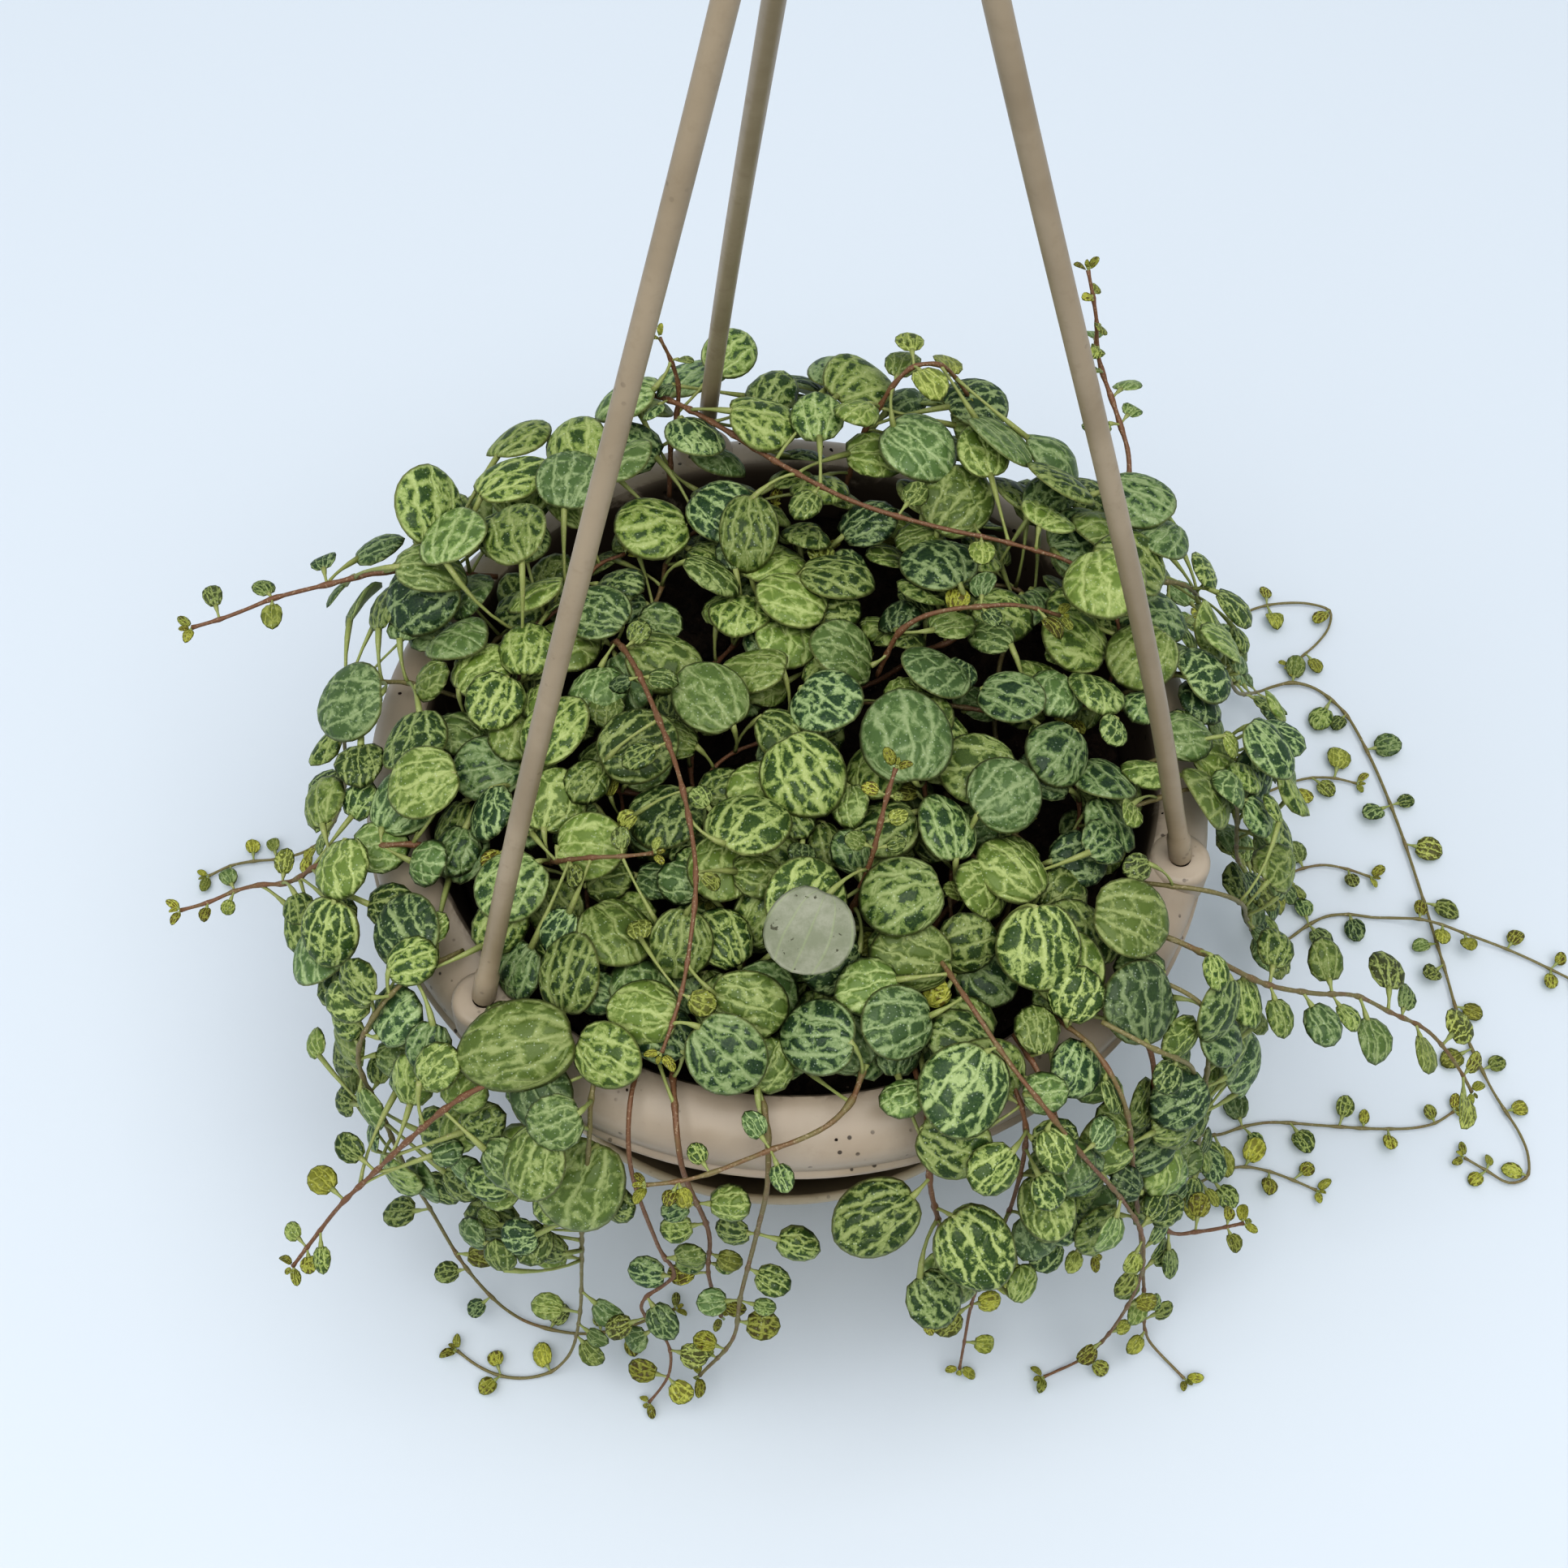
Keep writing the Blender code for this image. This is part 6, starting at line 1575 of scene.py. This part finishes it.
@dataclass
class DripSaucer:
    """The shallow saucer with its thin rounded lip and snap peg."""

    base_radius: float = 0.0335
    wall: float = 0.0014
    peg_radius: float = 0.0030
    peg_head: float = 0.0042
    peg_head_height: float = 0.0018
    steps: int = 128
    plastic: MouldedPlastic = MouldedPlastic("saucer_beige_plastic", (0.470, 0.400, 0.290),
                                             (0.390, 0.320, 0.220), 0.42, 0.35)

    def profile(self) -> list[tuple[float, float]]:
        """The saucer's outline, from the peg's top over the inside and the lip to the underside.

        Returns:
            Radius and height of each point.
        """
        top = SAUCER_FLOOR + 2 * CLEARANCE + POT_WALL
        inner_base = self.base_radius - self.wall
        inner_lip = SAUCER_LIP_RADIUS - self.wall
        lip = (SAUCER_LIP_RADIUS - self.wall / 2, SAUCER_LIP_HEIGHT - 0.0009)
        points = [(0.0, top + self.peg_head_height), (self.peg_head * 0.55, top + self.peg_head_height),
                  (self.peg_head * 0.7, top + self.peg_head_height - 0.0003), (self.peg_head, top + 0.0003),
                  (self.peg_head, top), (self.peg_radius, top), (self.peg_radius, SAUCER_FLOOR + 0.0004),
                  (self.peg_radius + 0.0004, SAUCER_FLOOR), (inner_base - 0.0015, SAUCER_FLOOR),
                  (inner_base - 0.0004, SAUCER_FLOOR + 0.0004), (inner_base, SAUCER_FLOOR + 0.0015),
                  (inner_lip, SAUCER_LIP_HEIGHT - 0.0011)]
        points += arc(lip, self.wall / 2, 0.0009, 165, -35, 10)
        points += [(SAUCER_LIP_RADIUS - 0.0003, SAUCER_LIP_HEIGHT - 0.0022), (self.base_radius, 0.0014),
                   (self.base_radius - 0.0003, 0.0004), (self.base_radius - 0.001, 0.0), (0.0, 0.0)]
        return points

    def build(self) -> bpy.types.Object:
        """Makes the saucer and dresses it.

        Returns:
            The saucer.
        """
        saucer = object_of("saucer_moulding", mesh_of("saucer_moulding", spun(self.profile(), self.steps)),
                           self.plastic.material())
        saucer.data.set_sharp_from_angle(angle=math.radians(40))
        stand_for(saucer, "saucer_plastic", "saucer")
        return saucer


@dataclass
class PottingSoil:
    """The potting mix: a low crumbly dome that fills the pot, with loose crumbs on it and on the rim."""

    cuts: int = 90
    lumps: float = 0.0014
    crumbs: int = 240
    rim_crumbs: int = 34
    spread: float = 0.0525
    levels: tuple[float, ...] = (0.060, 0.030, 0.0055)
    mix: PottingMix = PottingMix()

    def wall(self, height: float) -> float:
        """The radius of the mix against the pot's wall at a height.

        Args:
            height: the height.

        Returns:
            The radius.
        """
        foot = SAUCER_FLOOR + CLEARANCE + POT_WALL
        slope = (RIM_RADIUS - RIM_WIDTH - POT_BASE_RADIUS + POT_WALL) / (RIM_TOP - 0.0012 - foot)
        return POT_BASE_RADIUS - POT_WALL + slope * (height - foot) - 2.2 * CLEARANCE

    def build(self) -> bpy.types.Object:
        """Makes the mix and dresses it.

        Returns:
            The mix.
        """
        shape = bmesh.new()
        bmesh.ops.create_grid(shape, x_segments=self.cuts, y_segments=self.cuts, size=1.0)
        edge = self.wall(RIM_TOP - SOIL_EDGE_DROP)
        for vert in shape.verts:
            x, y = vert.co.x, vert.co.y
            u, v = x * math.sqrt(1 - y * y / 2), y * math.sqrt(1 - x * x / 2)
            share = math.hypot(u, v)
            lump = noise.fractal(Vector((u, v, 0.3)) * 16.0, 0.6, 2.1, 4)
            lump += 0.6 * noise.noise(Vector((u, v, 7.0)) * 5)
            calm = min(1.0, (1.0 - share) * 12.0)
            vert.co = (u * edge, v * edge, soil_height(share * edge) + (lump - 0.1) * self.lumps * calm)
        rim = [e for e in shape.edges if e.is_boundary]
        for level in self.levels:
            grown = bmesh.ops.extrude_edge_only(shape, edges=rim)["geom"]
            rim = [g for g in grown if isinstance(g, bmesh.types.BMEdge) and g.is_boundary]
            for vert in (g for g in grown if isinstance(g, bmesh.types.BMVert)):
                out = vert.co.xy.normalized() * self.wall(level)
                vert.co = (out.x, out.y, level)
        bmesh.ops.contextual_create(shape, geom=rim)
        bmesh.ops.recalc_face_normals(shape, faces=shape.faces)
        soil = object_of("soil_mix", mesh_of("soil_mix", shape), self.mix.material())
        stand_for(soil, "potting_mix", "soil")
        return soil

    def scatter(self) -> bpy.types.Object:
        """Strews loose crumbs over the mix and a few grains along the rim.

        Returns:
            The crumbs, as one piece.
        """
        rng = random.Random(SEED + 7)
        shape = bmesh.new()
        for k in range(self.crumbs + self.rim_crumbs):
            angle = rng.uniform(0, math.tau)
            if k < self.crumbs:
                radius = self.spread * math.sqrt(rng.random())
                height, size = soil_height(radius) + 0.0003, rng.uniform(0.0004, 0.0014)
            else:
                radius = RIM_RADIUS - rng.choice((0.0030, 0.0045, 0.0080)) + rng.uniform(-0.001, 0.001)
                rise = (radius - RIM_RADIUS + RIM_WIDTH - 0.0008) / (RIM_WIDTH - 0.0008)
                height = RIM_TOP - 0.0055 * (1 - math.sqrt(max(0.0, 1 - max(0.0, rise) ** 2)))
                size = rng.uniform(0.00012, 0.00034)
            sides = (rng.uniform(0.7, 1.7), rng.uniform(0.6, 1.1), rng.uniform(0.5, 0.9), 1.0)
            stretch = Matrix.Diagonal(sides)
            turn = Matrix.Rotation(rng.uniform(0, math.tau), 4, Vector((rng.random(), rng.random(), 0.4)))
            spot = Matrix.Translation((math.cos(angle) * radius, math.sin(angle) * radius, height))
            bmesh.ops.create_icosphere(shape, subdivisions=1, radius=size, matrix=spot @ turn @ stretch)
        crumbs = object_of("soil_crumbs", mesh_of("soil_crumbs", shape, False), self.mix.material())
        stand_for(crumbs, "potting_mix")
        return crumbs


@dataclass
class Hanger:
    """The three slim arms, each snapped into the rim, and the hub with its hook."""

    collar_length: float = 0.0050
    neck_diameter: float = 0.0020
    barb_diameter: float = 0.0040
    barb_length: float = 0.0035
    hub_radius: float = 0.0115
    hub_height: float = 0.0080
    socket_depth: float = 0.0045
    hook_radius: float = 0.0115
    hook_diameter: float = 0.0034
    hook_neck: float = 0.0060
    hook_sweep: float = 250.0
    hook_steps: int = 40
    plastic: MouldedPlastic = MouldedPlastic("hanger_beige_plastic", (0.370, 0.300, 0.215),
                                             (0.280, 0.222, 0.150), 0.38, 0.25)

    def arm(self, side: Arm, finish: bpy.types.Material) -> bpy.types.Object:
        """Makes one arm.

        Args:
            side: which arm it is.
            finish: its plastic.

        Returns:
            The arm.
        """
        line = arm_points(side, 28)
        flat = Vector((line[0].x, line[0].y, 0.0))
        top = RIM_TOP + LUG_RISE + CLEARANCE
        end = RIM_TOP - LUG_DEPTH - CLEARANCE
        neck, collar, bar = self.neck_diameter / 2, COLLAR_DIAMETER / 2, ARM_DIAMETER / 2
        rows = [(end - self.barb_length, neck), (end - 0.0002, self.barb_diameter / 2), (end, neck),
                (top - 0.0001, neck), (top, collar * 0.92), (top + 0.0003, collar),
                (top + self.collar_length, collar), (top + self.collar_length + 0.0006, bar)]
        lean = (line[1] - line[0]).normalized()
        points = [flat + Vector((0, 0, z)) for z, _ in rows[:4]]
        points += [flat + lean * ((z - top) / lean.z) + Vector((0, 0, top)) for z, _ in rows[4:]]
        radii = [r for _, r in rows]
        rest = [p for p in line if p.z > top + self.collar_length + 0.002]
        name = "hanger_arm_" + side.name.lower()
        made = object_of(name + "_bar", tubes(name, [(points + rest, radii + [bar] * len(rest))], 6), finish)
        made.data.set_sharp_from_angle(angle=math.radians(50))
        stand_for(made, "hanger_plastic", name)
        return made

    def hook(self, finish: bpy.types.Material) -> bpy.types.Object:
        """Makes the hub that the arms' tops plug into, with its hook.

        Args:
            finish: its plastic.

        Returns:
            The hub with its hook.
        """
        low = ARM_TOP - self.socket_depth
        high = low + self.hub_height
        wide = self.hub_radius
        profile = [(0.0, high), (wide * 0.3, high), (wide * 0.42, high - 0.0003),
                   (wide * 0.75, high - 0.0018), (wide * 0.93, high - 0.0034), (wide, low + 0.0030),
                   (wide, low + 0.0006), (wide - 0.0002, low + 0.0002), (wide - 0.0006, low), (0.0, low)]
        hub = object_of("hanger_hub_and_hook", mesh_of("hub", spun(profile, 96)), finish)
        points = [Vector((0, 0, high - 0.002)), Vector((0, 0, high + self.hook_neck * 0.6))]
        centre = Vector((0, 0, high + self.hook_neck + self.hook_radius))
        for k in range(1, self.hook_steps + 1):
            angle = math.radians(-90.0 + self.hook_sweep * k / self.hook_steps)
            points.append(centre + Vector((math.cos(angle), 0.0, math.sin(angle))) * self.hook_radius)
        bar = self.hook_diameter / 2
        shape = bmesh.new()
        shape.from_mesh(tubes("hook", [(points, [bar] * len(points))], 6))
        cuts = [("UNION", shape)]
        for side in Arm:
            line = arm_points(side)
            lean = (line[-1] - line[-2]).normalized()
            tip = line[-1] + lean * CLEARANCE
            radius = ARM_DIAMETER / 2 + CLEARANCE
            socket = bmesh.new()
            socket.from_mesh(tubes("socket", [([tip - lean * 0.012, tip], [radius, radius])], 6))
            cuts.append(("DIFFERENCE", socket))
        worked(hub, cuts)
        stand_for(hub, "hanger_plastic", "hanger_hook")
        return hub

    def build(self) -> None:
        """Makes the arms and the hook."""
        finish = self.plastic.material()
        for side in Arm:
            self.arm(side, finish)
        self.hook(finish)


@dataclass
class Foliage:
    """The plant's stems, each with its petioles and fleshy blades."""

    thickness: float = 0.030
    top: float = 0.125
    flare: float = 0.00052
    knuckle: float = 1.40
    slim: float = 0.86
    slim_lying: float = 0.72
    blades: list[bpy.types.Mesh] = field(default_factory=list)

    def blade(self, sides: int, rings: int, rng: random.Random) -> bpy.types.Mesh:
        """Makes one blade of length and width 1, with its map from base to tip.

        Args:
            sides: how many sides its outline has.
            rings: how many rings of faces run from its top to its underside.
            rng: the run of random draws for its outline.

        Returns:
            The blade, its middle at the origin and its tip towards +X.
        """
        shape = bmesh.new()
        bmesh.ops.create_uvsphere(shape, u_segments=sides, v_segments=rings, radius=1.0)
        chart = shape.loops.layers.uv.new("blade")
        for face in shape.faces:
            for loop in face.loops:
                loop[chart].uv = (loop.vert.co.x * 0.5 + 0.5, loop.vert.co.y * 0.5 + 0.5)
        phase, uneven = rng.uniform(0, math.tau), rng.uniform(0.006, 0.022)
        tip, notch, egg = rng.uniform(0.01, 0.05), rng.uniform(0.04, 0.12), rng.uniform(-0.03, 0.05)
        for vert in shape.verts:
            x, y, z = vert.co
            around = math.atan2(y, x)
            reach = 1 + uneven * math.sin(3 * around + phase) - egg * math.cos(around)
            reach += tip * math.exp(-(around / 0.3) ** 2)
            reach -= notch * math.exp(-((math.pi - abs(around)) / 0.32) ** 2)
            rise = self.top * z ** 1.25 if z > 0 else self.thickness * z
            vert.co = (x * reach * 0.5, y * reach * 0.5, rise)
        for face in shape.faces:
            face.material_index = int(face.calc_center_median().z < 0)
        return mesh_of("blade", shape)

    def prepare(self) -> None:
        """Makes the small set of blades that every leaf is shaped from."""
        rng = random.Random(SEED + 3)
        self.blades = [self.blade(12, 6, rng) for _ in range(6)] + [self.blade(24, 8, rng) for _ in range(4)]

    def add_blade(self, shape: bmesh.types.BMesh, leaf: Leaf, rng: random.Random) -> None:
        """Adds one leaf's blade to a stem's shape, curled and waved in its own way.

        Args:
            shape: the stem's shape.
            leaf: the leaf.
            rng: the run of random draws.
        """
        start = len(shape.verts)
        shape.from_mesh(rng.choice(self.blades[6:] if leaf.length > LARGE_LEAF else self.blades[:6]))
        shape.verts.ensure_lookup_table()
        tone = shape.verts.layers.float_color["tone"]
        young = leaf.age < 0.35
        curl, cup = rng.gauss(-0.05, 0.06), rng.gauss(-0.03 if not young else 0.10, 0.06)
        wave, phase = rng.uniform(0.0, 0.035), rng.uniform(0, math.tau)
        turn = leaf.matrix()
        if leaf.turned_over:
            turn = turn @ Matrix.Rotation(math.pi, 4, "X") @ Matrix.Translation((0, 0, -0.05 * leaf.length))
        shade = 1.0 if leaf.turned_over else rng.uniform(0, 0.96)
        look = (leaf.age, rng.random(), shade, min(1.0, leaf.length / FULL_LEAF))
        for k in range(start, len(shape.verts)):
            vert = shape.verts[k]
            x, y, z = vert.co
            bend = curl * 4 * x * x * (0.5 + x) + cup * 4 * y * y
            bend += wave * math.sin(2 * math.atan2(y, x) + phase) * 4 * (x * x + y * y)
            vert.co = turn @ Vector((x * leaf.length, y * leaf.width, (z + bend) * leaf.length))
            vert[tone] = look

    def petiole(self, leaf: Leaf, rng: random.Random) -> tuple[list[Vector], list[float]]:
        """The line and radii of a leaf's petiole, which widens where it meets the blade.

        Args:
            leaf: the leaf.
            rng: the run of random draws.

        Returns:
            Its points and its radius at each.
        """
        fine = min(1.0, 0.45 + leaf.length / 0.013)
        end = leaf.base() + leaf.along * leaf.length * 0.09 + leaf.normal * leaf.length * 0.012
        if leaf.turned_over:
            end -= leaf.normal * leaf.length * 0.03
        run = end - leaf.root
        bow = leaf.along * run.length * -0.16 + Vector((0, 0, rng.uniform(-0.05, 0.12) * run.length))
        points, radii = [], []
        for k in range(6):
            t = k / 5
            points.append(leaf.root.lerp(end, t) + bow * (4 * t * (1 - t)) * 0.6)
            radii.append(PETIOLE_RADIUS * fine * (0.98 - 0.3 * math.sin(math.pi * min(1.0, t * 1.25))))
        radii[-2] = self.flare * fine * 0.85
        radii[-1] = self.flare * fine
        return points, radii

    def stem_line(self, stem: Stem, leaves: list[Leaf],
                  rng: random.Random) -> tuple[list[Vector], list[float]]:
        """The line and radii of a stem, a little uneven and thicker where leaves grow.

        Args:
            stem: the stem.
            leaves: its leaves.
            rng: the run of random draws.

        Returns:
            Its points and its radius at each.
        """
        points = smooth_line([tuple(p) for p in stem.points], STEM_SPACING / 4)
        slim = self.slim_lying if points[-1].z < LYING_BELOW else self.slim
        roots = [leaf.root for leaf in leaves]
        radii = []
        for k, point in enumerate(points):
            share = k / (len(points) - 1)
            radius = slim * (STEM_RADIUS + (TIP_RADIUS - STEM_RADIUS) * share)
            if any((root - point).length < STEM_SPACING / 5 for root in roots):
                radius *= self.knuckle
            radii.append(radius * rng.uniform(0.92, 1.06))
        return points, radii

    def grow(self, garden: Garden, index: int, finishes: list[bpy.types.Material]) -> bpy.types.Object:
        """Makes one stem with its leaves as a piece.

        Args:
            garden: the laid-out plant.
            index: the stem's number.
            finishes: upper face, underside and stem.

        Returns:
            The piece.
        """
        stem = garden.stems[index]
        rng = random.Random(SEED * 1000 + index)
        leaves = [leaf for leaf in garden.leaves if leaf.stem == index]
        shape = bmesh.new()
        shape.verts.layers.float_color.new("tone")
        shape.loops.layers.uv.new("blade")
        for leaf in leaves:
            self.add_blade(shape, leaf, rng)
        lying = sum(p.z < LYING_BELOW for p in stem.points) > 3
        red = rng.uniform(0.05, 0.40) if lying else rng.uniform(0.35, 1.0)
        stalks = [self.petiole(leaf, rng) for leaf in leaves if (leaf.base() - leaf.root).length > 0.0004]
        for lines, roundness, petiole in (([self.stem_line(stem, leaves, rng)], 2, 0.0), (stalks, 1, 1.0)):
            if not lines:
                continue
            start, first_face = len(shape.verts), len(shape.faces)
            mesh = tubes(stem.name, lines, roundness)
            shape.from_mesh(mesh)
            bpy.data.meshes.remove(mesh)
            shape.verts.ensure_lookup_table()
            shape.faces.ensure_lookup_table()
            tone = shape.verts.layers.float_color["tone"]
            for k in range(start, len(shape.verts)):
                shape.verts[k][tone] = (red, petiole, 0.0, 1.0)
            for k in range(first_face, len(shape.faces)):
                shape.faces[k].material_index = 2
        piece = object_of(stem.name + "_living", mesh_of(stem.name + "_living", shape), *finishes)
        stand_for(piece, "foliage", stem.name)
        return piece

    def build(self, garden: Garden) -> None:
        """Makes every stem.

        Args:
            garden: the laid-out plant.
        """
        self.prepare()
        finishes = [LeafSkin().material(), LeafBack().material(), StemSkin().material()]
        for index in range(len(garden.stems)):
            self.grow(garden, index, finishes)


@dataclass(frozen=True)
class Lamp:
    """A square soft lamp that faces the pot."""

    name: str
    place: Spot
    size: float
    power: float
    colour: Colour


@dataclass
class Studio:
    """The pale board, the soft light and the camera that looks down on the plant."""

    board: float = 3.0
    place: Spot = (-0.00074, -0.1855, 0.3874)
    down: float = 1.0329
    roll: float = 0.0546
    lens: float = 55.25
    sky: Colour = (0.88, 0.93, 0.97)
    sky_strength: float = 0.52
    lamps: tuple[Lamp, ...] = (Lamp("window", (0.10, -0.45, 1.5), 1.5, 15.0, (1.0, 0.985, 0.96)),
                               Lamp("fill", (-0.9, -0.6, 1.1), 1.2, 3.0, (0.96, 0.98, 1.0)))

    def floor(self) -> None:
        """Lays the board."""
        shape = bmesh.new()
        bmesh.ops.create_grid(shape, x_segments=1, y_segments=1, size=self.board)
        board = object_of("board", mesh_of("board", shape, False), PaintedFloor().material())

    def light(self) -> None:
        """Hangs the lamps and sets the sky."""
        scene = bpy.context.scene
        for lamp in self.lamps:
            data = bpy.data.lights.new(lamp.name, "AREA")
            data.size, data.energy, data.color = lamp.size, lamp.power, lamp.colour
            made = bpy.data.objects.new(lamp.name, data)
            made.location = lamp.place
            made.rotation_euler = (-Vector(lamp.place)).to_track_quat("-Z", "Y").to_euler()
            scene.collection.objects.link(made)
        world = bpy.data.worlds.new("sky")
        world.use_nodes = True
        back = world.node_tree.nodes["Background"]
        back.inputs["Color"].default_value = (*self.sky, 1.0)
        back.inputs["Strength"].default_value = self.sky_strength
        scene.world = world
        scene.view_settings.view_transform = "Standard"
        scene.view_settings.look = "High Contrast"

    def camera(self) -> None:
        """Sets the camera."""
        data = bpy.data.cameras.new("camera")
        data.lens = self.lens
        data.sensor_width = 36.0
        data.clip_start, data.clip_end = 0.01, 20.0
        made = bpy.data.objects.new("camera", data)
        ahead = Vector((0.0, math.cos(self.down), -math.sin(self.down)))
        side = Vector((1.0, 0.0, 0.0))
        up = side.cross(ahead)
        right = side * math.cos(self.roll) + up * math.sin(self.roll)
        top = up * math.cos(self.roll) - side * math.sin(self.roll)
        turn = Matrix((right, top, -ahead)).transposed().to_4x4()
        made.matrix_world = Matrix.Translation(self.place) @ turn
        bpy.context.scene.collection.objects.link(made)
        bpy.context.scene.camera = made


def main() -> None:
    """Builds the whole scene, piece by piece."""
    logging.basicConfig(level=logging.INFO, format="%(message)s")
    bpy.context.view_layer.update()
    studio = Studio()
    studio.floor()
    studio.light()
    studio.camera()
    HangingPot().build()
    DripSaucer().build()
    soil = PottingSoil()
    soil.build()
    soil.scatter()
    Hanger().build()
    garden = lay_out_plant()
    log.info("%d stems and %d leaves", len(garden.stems), len(garden.leaves))
    Foliage().build(garden)


if __name__ == "__main__":
    main()
